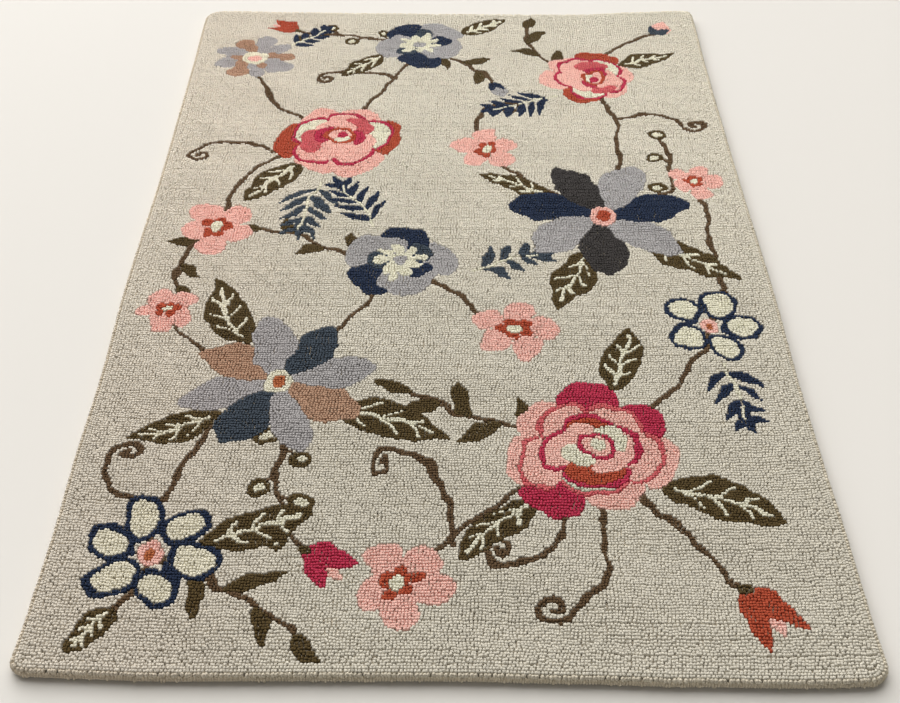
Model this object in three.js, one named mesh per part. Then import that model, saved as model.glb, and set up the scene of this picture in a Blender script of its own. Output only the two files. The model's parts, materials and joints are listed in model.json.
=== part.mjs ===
// Hand-tufted area rug, lying flat.
//
// One piece: yarn loops tufted through a cotton ground, closed at the rim by the
// outermost loops, which lean outwards and roll down towards the floor. The solid is
// the whole body of backing and pile, as far as the loop tips reach.
//
// Units are millimetres. X runs across the rug, Y along it and away from the near end,
// Z up. The origin is the middle of the rug's bounding box, on the floor.

import * as THREE from 'three';

// Driving dimensions
const WIDTH = 1067;
const LENGTH = 1676;
const THICKNESS = 16.5;

// Corner radii differ because the cloth is trimmed and turned by hand.
const CORNER_RADIUS = { nearLeft: 20, nearRight: 28, farRight: 24, farLeft: 38 };

// How far each long side stands out from its straight line, from the near end (0) to
// the far end (1). Between two stations the edge runs in a soft S, and all four corners
// flare a little.
const SIDE_STATIONS = [
  { along: 0.0, left: 5.5, right: 5.0 },
  { along: 0.04, left: 1.7, right: 1.5 },
  { along: 0.13, left: -1.2, right: 1.2 },
  { along: 0.21, left: 0.4, right: -1.0 },
  { along: 0.3, left: -2.0, right: -2.1 },
  { along: 0.43, left: 2.1, right: 1.1 },
  { along: 0.64, left: -1.8, right: -0.9 },
  { along: 0.77, left: -0.5, right: -0.7 },
  { along: 0.88, left: 0.7, right: 0.7 },
  { along: 0.95, left: 3.2, right: 3.2 },
  { along: 1.0, left: 4.0, right: 4.0 },
];

// How far each short end stands out, from the left side (0) to the right side (1). The
// near end runs askew, longest towards the right, and the far end bows in.
const END_STATIONS = [
  { across: 0.0, near: -8.5, far: 7.0 },
  { across: 0.06, near: -5.5, far: 6.0 },
  { across: 0.17, near: -1.0, far: 1.5 },
  { across: 0.34, near: -1.4, far: -3.2 },
  { across: 0.5, near: -1.2, far: -6.8 },
  { across: 0.65, near: 2.7, far: -9.5 },
  { across: 0.76, near: 6.5, far: -10.5 },
  { across: 0.9, near: 8.8, far: 2.3 },
  { across: 1.0, near: 6.0, far: 9.5 },
];

// The rim from the floor up to the flat of the pile: how far in from the widest line,
// and how high above the floor. The foot is drawn under, the belly is the side of the
// last row of loops, and the crown is where those loops turn over.
const RIM_PROFILE = [
  { name: 'foot', inset: 3.6, height: 0 },
  { name: 'ankle', inset: 0.9, height: 2.4 },
  { name: 'belly', inset: 0, height: 7.0 },
  { name: 'shoulder', inset: 1.4, height: 11.8 },
  { name: 'crown', inset: 4.6, height: 15.2 },
  { name: 'pile', inset: 9.5, height: THICKNESS },
];

// The pile's top is not quite level: long, shallow swells left by hand-guided rows.
const SWELLS = [
  { height: 0.5, acrossWave: 430, alongWave: 610, phase: 0.7 },
  { height: 0.35, acrossWave: 250, alongWave: 330, phase: 2.1 },
  { height: 0.25, acrossWave: 900, alongWave: 170, phase: 4.0 },
];
const SWELL_RUN_IN = 60;

// Steps of the mesh: along half a corner's arc, and along the straight of each edge
const ARC_STEPS = 4;
const ACROSS_STEPS = 22;
const ALONG_STEPS = 34;

const UNDYED_WOOL = { color: 0xcdc4b4, roughness: 0.95, metalness: 0.0 };

/** Reads a station table at a place between 0 and 1, easing from row to row. */
function easedAt(stations, place, placeKey, valueKey) {
  const last = stations.length - 1;
  const clamped = THREE.MathUtils.clamp(place, 0, 1);
  let row = 0;
  while (row < last - 1 && stations[row + 1][placeKey] < clamped) {
    row += 1;
  }
  const from = stations[row];
  const to = stations[row + 1];
  const ease = THREE.MathUtils.smoothstep(clamped, from[placeKey], to[placeKey]);
  return THREE.MathUtils.lerp(from[valueKey], to[valueKey], ease);
}

/** Moves a point of the true rectangle to where the uneven cloth has it. */
function withHandTrim(point) {
  const across = point.x / WIDTH + 0.5;
  const along = point.y / LENGTH + 0.5;
  const left = -easedAt(SIDE_STATIONS, along, 'along', 'left');
  const right = easedAt(SIDE_STATIONS, along, 'along', 'right');
  const near = -easedAt(END_STATIONS, across, 'across', 'near');
  const far = easedAt(END_STATIONS, across, 'across', 'far');
  return new THREE.Vector2(
    point.x + THREE.MathUtils.lerp(left, right, across),
    point.y + THREE.MathUtils.lerp(near, far, along),
  );
}

/**
 * One edge of the rounded rectangle, drawn in by an inset, as points from the middle of
 * one corner's arc to the middle of the next.
 */
function edgePoints(start, end, startRadius, endRadius, inset, straightSteps) {
  const direction = end.clone().sub(start).normalize();
  const outward = new THREE.Vector2(direction.y, -direction.x);
  const points = [];
  const arcPoint = (centre, radius, angle) => centre
    .clone()
    .addScaledVector(outward, radius * Math.cos(angle))
    .addScaledVector(direction, radius * Math.sin(angle));
  const startCentre = start.clone()
    .addScaledVector(direction, startRadius)
    .addScaledVector(outward, -startRadius);
  const endCentre = end.clone()
    .addScaledVector(direction, -endRadius)
    .addScaledVector(outward, -endRadius);
  for (let step = 0; step < ARC_STEPS; step += 1) {
    const angle = (-Math.PI / 4) * (1 - step / ARC_STEPS);
    points.push(arcPoint(startCentre, startRadius - inset, angle));
  }
  const straightStart = arcPoint(startCentre, startRadius - inset, 0);
  const straightEnd = arcPoint(endCentre, endRadius - inset, 0);
  for (let step = 0; step <= straightSteps; step += 1) {
    points.push(straightStart.clone().lerp(straightEnd, step / straightSteps));
  }
  for (let step = 1; step <= ARC_STEPS; step += 1) {
    const angle = (Math.PI / 4) * (step / ARC_STEPS);
    points.push(arcPoint(endCentre, endRadius - inset, angle));
  }
  return points;
}

/** The four edges at an inset, near and far from left to right, sides from near to far. */
function edgesAt(inset) {
  const nearLeft = new THREE.Vector2(-WIDTH / 2, -LENGTH / 2);
  const nearRight = new THREE.Vector2(WIDTH / 2, -LENGTH / 2);
  const farRight = new THREE.Vector2(WIDTH / 2, LENGTH / 2);
  const farLeft = new THREE.Vector2(-WIDTH / 2, LENGTH / 2);
  const radius = CORNER_RADIUS;
  const near = edgePoints(
    nearLeft, nearRight, radius.nearLeft, radius.nearRight, inset, ACROSS_STEPS,
  );
  const right = edgePoints(
    nearRight, farRight, radius.nearRight, radius.farRight, inset, ALONG_STEPS,
  );
  const far = edgePoints(
    farRight, farLeft, radius.farRight, radius.farLeft, inset, ACROSS_STEPS,
  ).reverse();
  const left = edgePoints(
    farLeft, nearLeft, radius.farLeft, radius.nearLeft, inset, ALONG_STEPS,
  ).reverse();
  return { near, right, far, left };
}

/** The closed ring at an inset, counter-clockwise seen from above, from the near left. */
function ringAt(inset) {
  const { near, right, far, left } = edgesAt(inset);
  return [
    ...near.slice(0, -1),
    ...right.slice(0, -1),
    ...far.slice(1).reverse(),
    ...left.slice(1).reverse(),
  ];
}

/** The point inside the four edges at a column and row, blended from all of them. */
function insideEdges(edges, column, row) {
  const { near, right, far, left } = edges;
  const u = column / (near.length - 1);
  const v = row / (left.length - 1);
  const between = (a, b, share) => a.clone().lerp(b, share);
  const lengthwise = between(near[column], far[column], v);
  const crosswise = between(left[row], right[row], u);
  const cornerBlend = between(
    between(near[0], near.at(-1), u),
    between(far[0], far.at(-1), u),
    v,
  );
  return lengthwise.add(crosswise).sub(cornerBlend);
}

/** How far the pile's top lies above or below its mean at a point, none at the rim. */
function swellAt(point) {
  const fromRim = Math.min(
    WIDTH / 2 - Math.abs(point.x),
    LENGTH / 2 - Math.abs(point.y),
  );
  const runIn = THREE.MathUtils.smoothstep(fromRim, RIM_PROFILE.at(-1).inset, SWELL_RUN_IN);
  let total = 0;
  for (const { height, acrossWave, alongWave, phase } of SWELLS) {
    const across = Math.sin((2 * Math.PI * point.x) / acrossWave + phase);
    const along = Math.cos((2 * Math.PI * point.y) / alongWave + phase);
    total += height * across * along;
  }
  return runIn * total;
}

/** Collects vertices and triangles of one closed body. */
class BodyMesh {
  constructor() {
    this.positions = [];
    this.triangles = [];
  }

  addVertex(planPoint, height) {
    const placed = withHandTrim(planPoint);
    this.positions.push(placed.x, placed.y, height);
    return this.positions.length / 3 - 1;
  }

  addTriangle(a, b, c) {
    this.triangles.push(a, b, c);
  }

  addQuad(a, b, c, d) {
    this.addTriangle(a, b, c);
    this.addTriangle(a, c, d);
  }

  toGeometry() {
    const geometry = new THREE.BufferGeometry();
    geometry.setAttribute('position', new THREE.Float32BufferAttribute(this.positions, 3));
    geometry.setIndex(this.triangles);
    geometry.computeBoundingBox();
    const centre = geometry.boundingBox.getCenter(new THREE.Vector3());
    geometry.translate(-centre.x, -centre.y, 0);
    geometry.computeVertexNormals();
    return geometry;
  }
}

/** Rings of the rim from the floor up, joined into the rug's side wall. */
function addRim(body) {
  const rings = RIM_PROFILE.map(({ inset, height }) => (
    ringAt(inset).map((point) => body.addVertex(point, height))
  ));
  for (let level = 1; level < rings.length; level += 1) {
    const lower = rings[level - 1];
    const upper = rings[level];
    for (let i = 0; i < lower.length; i += 1) {
      const next = (i + 1) % lower.length;
      body.addQuad(lower[i], lower[next], upper[next], upper[i]);
    }
  }
  return { foot: rings[0], pile: rings.at(-1) };
}

/** The flat underside: triangles from one middle point to the foot of the rim. */
function addUnderside(body, foot) {
  const middle = body.addVertex(new THREE.Vector2(0, 0), 0);
  for (let i = 0; i < foot.length; i += 1) {
    const next = (i + 1) % foot.length;
    body.addTriangle(middle, foot[next], foot[i]);
  }
}

/** The swelling top of the pile, whose outer row is the rim's uppermost ring. */
function addPileTop(body, pileRing) {
  const edges = edgesAt(RIM_PROFILE.at(-1).inset);
  const lastColumn = edges.near.length - 1;
  const lastRow = edges.left.length - 1;
  const ringIndex = (column, row) => {
    if (row === 0) return column;
    if (column === lastColumn) return lastColumn + row;
    if (row === lastRow) return 2 * lastColumn + lastRow - column;
    return 2 * lastColumn + 2 * lastRow - row;
  };
  const vertexAt = [];
  for (let row = 0; row <= lastRow; row += 1) {
    const across = [];
    for (let column = 0; column <= lastColumn; column += 1) {
      const onRim = row === 0 || row === lastRow || column === 0 || column === lastColumn;
      if (onRim) {
        across.push(pileRing[ringIndex(column, row)]);
      } else {
        const point = insideEdges(edges, column, row);
        across.push(body.addVertex(point, THICKNESS + swellAt(point)));
      }
    }
    vertexAt.push(across);
  }
  for (let row = 0; row < lastRow; row += 1) {
    for (let column = 0; column < lastColumn; column += 1) {
      body.addQuad(
        vertexAt[row][column],
        vertexAt[row][column + 1],
        vertexAt[row + 1][column + 1],
        vertexAt[row + 1][column],
      );
    }
  }
}

/** The whole rug, backing and pile, as one closed body. */
function makeRug() {
  const body = new BodyMesh();
  const { foot, pile } = addRim(body);
  addUnderside(body, foot);
  addPileTop(body, pile);
  const rug = new THREE.Mesh(body.toGeometry(), new THREE.MeshStandardMaterial(UNDYED_WOOL));
  rug.name = 'rug';
  return rug;
}

const object = new THREE.Group();
object.add(makeRug());

export default object;
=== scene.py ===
"""Hand-tufted wool rug, lying flat on a pale floor.

The rug is a cotton ground with a loop pile in dyed wools. Its last loops lean outwards
and roll down over the edge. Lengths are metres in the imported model's frame, except in
the pattern, which is laid out in millimetres across and along the rug.
"""

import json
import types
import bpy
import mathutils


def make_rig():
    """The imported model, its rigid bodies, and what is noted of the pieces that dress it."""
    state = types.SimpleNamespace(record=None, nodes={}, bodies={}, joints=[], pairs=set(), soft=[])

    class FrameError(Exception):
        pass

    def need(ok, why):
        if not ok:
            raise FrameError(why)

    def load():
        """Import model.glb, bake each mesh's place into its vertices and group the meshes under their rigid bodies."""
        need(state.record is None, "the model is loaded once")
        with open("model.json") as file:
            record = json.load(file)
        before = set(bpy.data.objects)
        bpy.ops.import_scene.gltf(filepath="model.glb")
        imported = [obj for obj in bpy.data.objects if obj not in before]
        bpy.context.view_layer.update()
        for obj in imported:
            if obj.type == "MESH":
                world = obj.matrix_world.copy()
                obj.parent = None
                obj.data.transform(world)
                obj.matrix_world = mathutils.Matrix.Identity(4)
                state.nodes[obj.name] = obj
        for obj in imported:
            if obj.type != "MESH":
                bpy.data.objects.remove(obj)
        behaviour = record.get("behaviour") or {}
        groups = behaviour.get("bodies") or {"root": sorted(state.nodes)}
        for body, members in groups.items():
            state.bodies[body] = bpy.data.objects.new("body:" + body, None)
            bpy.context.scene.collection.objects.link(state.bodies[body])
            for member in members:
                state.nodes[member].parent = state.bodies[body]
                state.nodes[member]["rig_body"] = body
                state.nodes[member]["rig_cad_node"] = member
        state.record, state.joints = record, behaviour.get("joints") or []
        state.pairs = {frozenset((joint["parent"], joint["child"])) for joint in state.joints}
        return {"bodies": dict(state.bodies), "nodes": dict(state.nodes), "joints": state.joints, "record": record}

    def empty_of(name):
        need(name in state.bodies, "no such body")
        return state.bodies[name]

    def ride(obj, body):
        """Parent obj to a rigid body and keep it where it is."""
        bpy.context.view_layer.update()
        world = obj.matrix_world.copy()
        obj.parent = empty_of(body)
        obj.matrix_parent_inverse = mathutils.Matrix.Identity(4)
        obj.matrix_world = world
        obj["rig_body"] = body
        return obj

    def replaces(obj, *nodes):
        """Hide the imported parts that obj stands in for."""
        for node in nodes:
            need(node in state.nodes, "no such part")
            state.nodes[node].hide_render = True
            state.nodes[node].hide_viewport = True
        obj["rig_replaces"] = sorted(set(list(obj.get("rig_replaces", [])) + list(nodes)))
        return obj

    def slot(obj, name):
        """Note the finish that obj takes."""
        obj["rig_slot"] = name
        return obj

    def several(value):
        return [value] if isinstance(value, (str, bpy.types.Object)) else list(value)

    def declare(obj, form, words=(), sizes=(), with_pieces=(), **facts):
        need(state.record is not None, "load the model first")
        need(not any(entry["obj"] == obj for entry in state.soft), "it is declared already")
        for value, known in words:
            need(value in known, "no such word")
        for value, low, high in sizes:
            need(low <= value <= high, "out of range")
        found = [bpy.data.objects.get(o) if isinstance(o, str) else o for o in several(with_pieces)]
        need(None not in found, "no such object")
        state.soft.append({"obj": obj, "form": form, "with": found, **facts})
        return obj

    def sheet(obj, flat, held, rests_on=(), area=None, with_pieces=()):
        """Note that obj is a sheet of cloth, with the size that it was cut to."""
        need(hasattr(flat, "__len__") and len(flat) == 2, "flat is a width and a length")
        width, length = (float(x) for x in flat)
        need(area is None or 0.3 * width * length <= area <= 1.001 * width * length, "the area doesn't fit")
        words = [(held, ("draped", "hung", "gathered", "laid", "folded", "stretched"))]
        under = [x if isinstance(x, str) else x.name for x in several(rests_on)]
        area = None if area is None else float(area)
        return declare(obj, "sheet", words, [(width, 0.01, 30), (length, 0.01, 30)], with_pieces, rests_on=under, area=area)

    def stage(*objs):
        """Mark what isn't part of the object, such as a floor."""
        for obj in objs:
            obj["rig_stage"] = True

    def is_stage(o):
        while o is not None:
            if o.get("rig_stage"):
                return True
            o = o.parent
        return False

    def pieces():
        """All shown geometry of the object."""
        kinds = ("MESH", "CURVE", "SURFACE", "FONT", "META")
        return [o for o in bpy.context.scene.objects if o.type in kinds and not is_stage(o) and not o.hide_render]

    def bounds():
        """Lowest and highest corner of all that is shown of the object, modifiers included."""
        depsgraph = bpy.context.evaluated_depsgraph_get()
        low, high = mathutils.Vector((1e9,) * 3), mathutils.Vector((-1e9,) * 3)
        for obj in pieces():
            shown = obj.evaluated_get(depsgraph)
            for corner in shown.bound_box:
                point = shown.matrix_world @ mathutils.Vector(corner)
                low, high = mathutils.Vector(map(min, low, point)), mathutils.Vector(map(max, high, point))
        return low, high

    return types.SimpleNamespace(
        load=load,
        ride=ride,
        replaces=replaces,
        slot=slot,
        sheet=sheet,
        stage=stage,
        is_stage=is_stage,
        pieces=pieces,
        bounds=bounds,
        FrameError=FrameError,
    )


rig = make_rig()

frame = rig.load()
cad_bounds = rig.bounds()

import json
import logging
import math
from dataclasses import dataclass
from enum import Enum

import bmesh
import bpy
import numpy as np
from mathutils import Vector
from mathutils.bvhtree import BVHTree

LOG = logging.getLogger("rug")
SIZE_FILE = "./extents.json"
MILLIMETRE = 0.001
BAKE_MAP = "OFBake"
NEARLY_NONE = 1e-9


class Yarn(Enum):
    """The dyed wools, each with its colour in daylight as display red, green, blue."""

    UNDYED = (0.842, 0.825, 0.776)
    CREAM = (0.886, 0.878, 0.805)
    CELADON = (0.775, 0.790, 0.715)
    BLUSH = (0.925, 0.745, 0.705)
    ROSE = (0.800, 0.400, 0.420)
    CRIMSON = (0.725, 0.220, 0.330)
    BRICK = (0.694, 0.322, 0.231)
    RUST = (0.714, 0.431, 0.286)
    LAVENDER = (0.684, 0.678, 0.684)
    SLATE = (0.270, 0.310, 0.355)
    NAVY = (0.165, 0.210, 0.300)
    CHARCOAL = (0.260, 0.250, 0.250)
    TAUPE = (0.702, 0.572, 0.482)
    OLIVE = (0.345, 0.290, 0.185)
    STEM = (0.385, 0.310, 0.230)


YARNS = tuple(Yarn)
GROUND = Yarn.UNDYED

# How a free hand wavers, broadest first: reach and scale in millimetres, then two phases.
WAVERS = (
    (4.2, 33.0, 0.4, 1.9),
    (2.6, 17.0, 2.1, 0.7),
    (1.5, 7.5, 4.0, 5.2),
)
SWIRL = 1.7


def hand_drawn(places: np.ndarray) -> np.ndarray:
    """Moves places as the lines of a free hand waver.

    Args:
        places: Places across and along the rug, in millimetres.

    Returns:
        The moved places.
    """
    across, along = places.T
    moved = places.astype(float).copy()
    for reach, scale, first, second in WAVERS:
        moved[:, 0] += reach * np.sin(along / scale + SWIRL * np.sin(across / scale + first))
        moved[:, 1] += reach * np.sin(across / scale + SWIRL * np.sin(along / scale + second))
    return moved


@dataclass
class Dyeing:
    """The loops of the pile and the yarn that each one is tufted in.

    Attributes:
        places: Loop centres in millimetres, across and along the rug.
        yarns: For each loop the index of its yarn.
        drawn: Where the drawing has each loop, a little off because it is drawn by hand.
    """

    places: np.ndarray
    yarns: np.ndarray
    drawn: np.ndarray

    @classmethod
    def of_ground(cls, places: np.ndarray) -> "Dyeing":
        """All loops in the ground's yarn.

        Args:
            places: Loop centres in millimetres.

        Returns:
            A dyeing with no motif on it yet.
        """
        return cls(places, np.full(len(places), YARNS.index(GROUND)), hand_drawn(places))

    def tuft(self, inside: np.ndarray, yarn: Yarn) -> None:
        """Changes the yarn of the loops inside a shape.

        Args:
            inside: One truth value for each loop.
            yarn: The yarn that they take.
        """
        self.yarns[inside] = YARNS.index(yarn)

    def tuft_rounds(self, across: float, along: float, *rounds: tuple[float, Yarn]) -> None:
        """Changes the yarn of the loops in circles round one middle.

        Args:
            across: The middle's place across the rug, in millimetres.
            along: Its place along the rug.
            rounds: Each circle's radius and yarn, the widest first.
        """
        out = np.hypot(*self.seen_from(across, along, 0.0))
        for radius, yarn in rounds:
            self.tuft(out < radius, yarn)

    def seen_from(self, across: float, along: float, turn: float) -> tuple[np.ndarray, np.ndarray]:
        """The loop centres in a motif's own axes.

        Args:
            across: The motif's place across the rug, in millimetres.
            along: Its place along the rug.
            turn: How far its own first axis is turned from the rug's, in degrees.

        Returns:
            The two coordinates of every loop.
        """
        angle = math.radians(turn)
        offset = self.drawn - (across, along)
        u = offset[:, 0] * math.cos(angle) + offset[:, 1] * math.sin(angle)
        v = offset[:, 1] * math.cos(angle) - offset[:, 0] * math.sin(angle)
        return u, v


@dataclass(frozen=True)
class Vine:
    """A stem that bends through four control points.

    Attributes:
        bends: The control points, in millimetres.
        girth: Its width.
        yarn: Its yarn.
    """

    bends: tuple[tuple[float, float], ...]
    girth: float = 8.5
    yarn: Yarn = Yarn.STEM

    STEPS = 48

    def route(self) -> np.ndarray:
        """Lays the stem out as a curve.

        Returns:
            Points along it, from foot to end.
        """
        foot, low, high, end = (np.array(bend, float) for bend in self.bends)
        s = np.linspace(0.0, 1.0, self.STEPS)[:, None]
        return (
            foot * (1 - s) ** 3 + 3 * low * s * (1 - s) ** 2 + 3 * high * s**2 * (1 - s) + end * s**3
        )

    def foothold(self, share: float) -> tuple[np.ndarray, np.ndarray]:
        """Finds where something springs from the stem.

        Args:
            share: How far along the stem, between 0 and 1.

        Returns:
            The place, and a short step along the stem from there.
        """
        route = self.route()
        at = min(int(share * (len(route) - 1)), len(route) - 2)
        return route[at], route[at + 1] - route[at]

    def paint(self, dyeing: Dyeing) -> None:
        """Tufts the stem.

        Args:
            dyeing: The loops to work on.
        """
        tuft_along(dyeing, self.route(), self.girth, self.yarn)


def tuft_along(dyeing: Dyeing, route: np.ndarray, girth: float, yarn: Yarn) -> None:
    """Tufts a line of even width along a route.

    Args:
        dyeing: The loops to work on.
        route: Points along the line, in millimetres.
        girth: The line's width.
        yarn: The line's yarn.
    """
    low, high = route.min(0) - girth, route.max(0) + girth
    close = np.all((dyeing.drawn > low) & (dyeing.drawn < high), axis=1)
    picked = np.flatnonzero(close)
    start, run = route[:-1], np.diff(route, axis=0)
    offset = dyeing.drawn[picked, None] - start
    share = np.clip((offset * run).sum(2) / np.maximum((run**2).sum(1), NEARLY_NONE), 0, 1)
    gap = np.linalg.norm(offset - share[..., None] * run, axis=2).min(1)
    inside = np.zeros(len(dyeing.places), bool)
    inside[picked] = gap < girth / 2
    dyeing.tuft(inside, yarn)


def bulge(share: np.ndarray, fullness: float, roundness: float) -> np.ndarray:
    """A petal's or leaf's width from foot to tip, as a share of its greatest width."""
    return np.sin(math.pi * share**fullness) ** roundness


@dataclass(frozen=True)
class CurledVine:
    """A stem whose end winds in on itself.

    Attributes:
        stem: The stem.
        curl: The radius at which the curl starts.
        turns: How often it goes round; negative winds clockwise.
    """

    stem: Vine
    curl: float = 24.0
    turns: float = 1.15

    STEPS = 60
    INNER = 0.2

    def paint(self, dyeing: Dyeing) -> None:
        """Tufts the stem and its curl.

        Args:
            dyeing: The loops to work on.
        """
        route = self.stem.route()
        ahead = route[-1] - route[-2]
        heading = math.atan2(ahead[1], ahead[0])
        side = math.copysign(1.0, self.turns)
        bearing = heading - side * math.pi / 2
        middle = route[-1] - self.curl * np.array([math.cos(bearing), math.sin(bearing)])
        s = np.linspace(0.0, 1.0, self.STEPS)
        angle = bearing + 2 * math.pi * self.turns * s
        reach = self.curl * (1 - (1 - self.INNER) * s)
        curl = middle + reach[:, None] * np.stack([np.cos(angle), np.sin(angle)], axis=1)
        tuft_along(dyeing, np.vstack([route, curl]), self.stem.girth, self.stem.yarn)


@dataclass(frozen=True)
class LeafyVine:
    """A stem with leaves left and right in turn, and one at its end.

    Attributes:
        stem: The stem.
        count: How many leaves stand along it, besides the one at its end.
        length: How long a leaf at the stem's foot would be; they grow shorter towards its end.
        width: A leaf's width.
        lean: How far the leaves point away from the stem, in degrees.
        blade: The leaves' yarn.
    """

    stem: Vine
    count: int
    length: float
    width: float
    lean: float = 48.0
    blade: Yarn = Yarn.OLIVE

    FIRST = 0.22
    TAPER = 0.3
    BOW = 0.06

    def paint(self, dyeing: Dyeing) -> None:
        """Tufts the stem and then its leaves.

        Args:
            dyeing: The loops to work on.
        """
        self.stem.paint(dyeing)
        for leaf in range(self.count + 1):
            share = self.FIRST + (1 - self.FIRST) * leaf / self.count
            (x, y), ahead = self.stem.foothold(share)
            heading = math.degrees(math.atan2(ahead[1], ahead[0]))
            side = 1.0 if leaf % 2 else -1.0
            if leaf == self.count:
                side = 0.0
            length = self.length * (1 - self.TAPER * share)
            turn = heading + side * self.lean
            bow = -side * length * self.BOW
            Leaf(x, y, length, turn, self.width, self.blade, None, bow).paint(dyeing)


@dataclass(frozen=True)
class PetalRing:
    """One ring of overlapping petals.

    Attributes:
        reach: Its radius as a share of the flower's.
        petals: How many petals it has.
        notch: How deep the outline dips between two petals, as a share of the reach.
        twist: How far its first petal is turned, in degrees.
        yarns: The petals' yarns, taken in turn.
        lip: The yarn of each petal's outer edge, or none.
    """

    reach: float
    petals: int
    notch: float
    twist: float
    yarns: tuple[Yarn, ...]
    lip: Yarn | None = None


@dataclass(frozen=True)
class LayeredFlower:
    """A full flower of rings of petals, one on top of another.

    Attributes:
        across: Its middle across the rug, in millimetres.
        along: Its middle along the rug.
        radius: Its radius.
        rings: The rings, the outermost first.
        turn: How far it is turned, in degrees.
        squash: Its height as a share of its width.
        drift: How far the innermost ring stands off the middle, as a share of the radius.
    """

    across: float
    along: float
    radius: float
    rings: tuple[PetalRing, ...]
    turn: float = 0.0
    squash: float = 1.0
    drift: float = 0.0

    LIP_WIDTH = 8.0
    UNEVEN = 0.08
    UNEVEN_STEP = 2.4

    def paint(self, dyeing: Dyeing) -> None:
        """Tufts the flower, ring by ring.

        Args:
            dyeing: The loops to work on.
        """
        u, v = dyeing.seen_from(self.across, self.along, self.turn)
        v = v / self.squash
        for ring in self.rings:
            aside = self.radius * self.drift * (1 - ring.reach)
            out = np.hypot(u - aside, v)
            bearing = np.arctan2(v, u - aside)
            place = (bearing - math.radians(ring.twist)) * ring.petals / (2 * math.pi)
            petal = np.floor(place).astype(int) % ring.petals
            swell = np.sqrt(np.abs(np.sin(math.pi * (place - np.floor(place)))))
            size = 1 + self.UNEVEN * np.sin(self.UNEVEN_STEP * petal + ring.twist)
            edge = self.radius * ring.reach * size * (1 - ring.notch * (1 - swell))
            inside = out < edge
            for index in range(ring.petals):
                yarn = ring.yarns[index % len(ring.yarns)]
                dyeing.tuft(inside & (petal == index), yarn)
            if ring.lip is not None:
                dyeing.tuft(inside & (out > edge - self.LIP_WIDTH), ring.lip)


@dataclass(frozen=True)
class RayFlower:
    """A flower of long single petals that stand apart round an eye.

    Attributes:
        across: Its middle across the rug, in millimetres.
        along: Its middle along the rug.
        length: A petal's length from the middle.
        width: A petal's width.
        petals: How many petals it has.
        yarns: The petals' yarns, taken in turn.
        eye: The yarns of the eye, outer and inner.
        eye_radius: The eye's radius.
        turn: How far the first petal is turned, in degrees.
        fullness: Where a petal is widest, under 1 near its foot and over 1 near its tip.
    """

    across: float
    along: float
    length: float
    width: float
    petals: int
    yarns: tuple[Yarn, ...]
    eye: tuple[Yarn, Yarn] = (Yarn.BLUSH, Yarn.BRICK)
    eye_radius: float = 24.0
    turn: float = 0.0
    fullness: float = 1.3

    ROUNDNESS = 0.75
    INNER_EYE = 0.5

    def paint(self, dyeing: Dyeing) -> None:
        """Tufts the petals and then the eye.

        Args:
            dyeing: The loops to work on.
        """
        for index in range(self.petals):
            bearing = self.turn + 360.0 * index / self.petals
            u, v = dyeing.seen_from(self.across, self.along, bearing)
            share = np.clip(u / self.length, 0.0, 1.0)
            half = self.width / 2 * bulge(share, self.fullness, self.ROUNDNESS)
            inside = (u > 0) & (u < self.length) & (np.abs(v) < half)
            dyeing.tuft(inside, self.yarns[index % len(self.yarns)])
        outer, inner = self.eye
        eye = (self.eye_radius, outer), (self.eye_radius * self.INNER_EYE, inner)
        dyeing.tuft_rounds(self.across, self.along, *eye)


@dataclass(frozen=True)
class OutlinedBlossom:
    """A pale blossom of round petals, each drawn round with a dark line.

    Attributes:
        across: Its middle across the rug, in millimetres.
        along: Its middle along the rug.
        radius: Its radius.
        petals: How many petals it has.
        turn: How far the first petal is turned, in degrees.
        line: The yarn of the outline.
        fill: The yarn of the petals.
    """

    across: float
    along: float
    radius: float
    petals: int = 6
    turn: float = 0.0
    line: Yarn = Yarn.NAVY
    fill: Yarn = Yarn.CREAM

    LINE_WIDTH = 7.5
    PETAL_MIDDLE = 0.62
    PETAL_HALF_LENGTH = 0.38
    PETAL_FULLNESS = 0.62
    EYE_SHARE = 0.2
    INNER_EYE = 0.45

    def paint(self, dyeing: Dyeing) -> None:
        """Tufts the petals, their outlines and the eye.

        Args:
            dyeing: The loops to work on.
        """
        middle = self.radius * self.PETAL_MIDDLE
        half_length = self.radius * self.PETAL_HALF_LENGTH
        half_width = self.radius * math.sin(math.pi / self.petals) * self.PETAL_FULLNESS
        line = self.LINE_WIDTH / half_width
        for index in range(self.petals):
            bearing = self.turn + 360.0 * index / self.petals
            u, v = dyeing.seen_from(self.across, self.along, bearing)
            oval = np.hypot((u - middle) / half_length, v / half_width)
            dyeing.tuft(oval < 1.0, self.line)
            dyeing.tuft(oval < 1.0 - line, self.fill)
        eye = self.radius * self.EYE_SHARE
        rounds = (eye, Yarn.BLUSH), (eye * self.INNER_EYE, Yarn.RUST)
        dyeing.tuft_rounds(self.across, self.along, *rounds)


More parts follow.
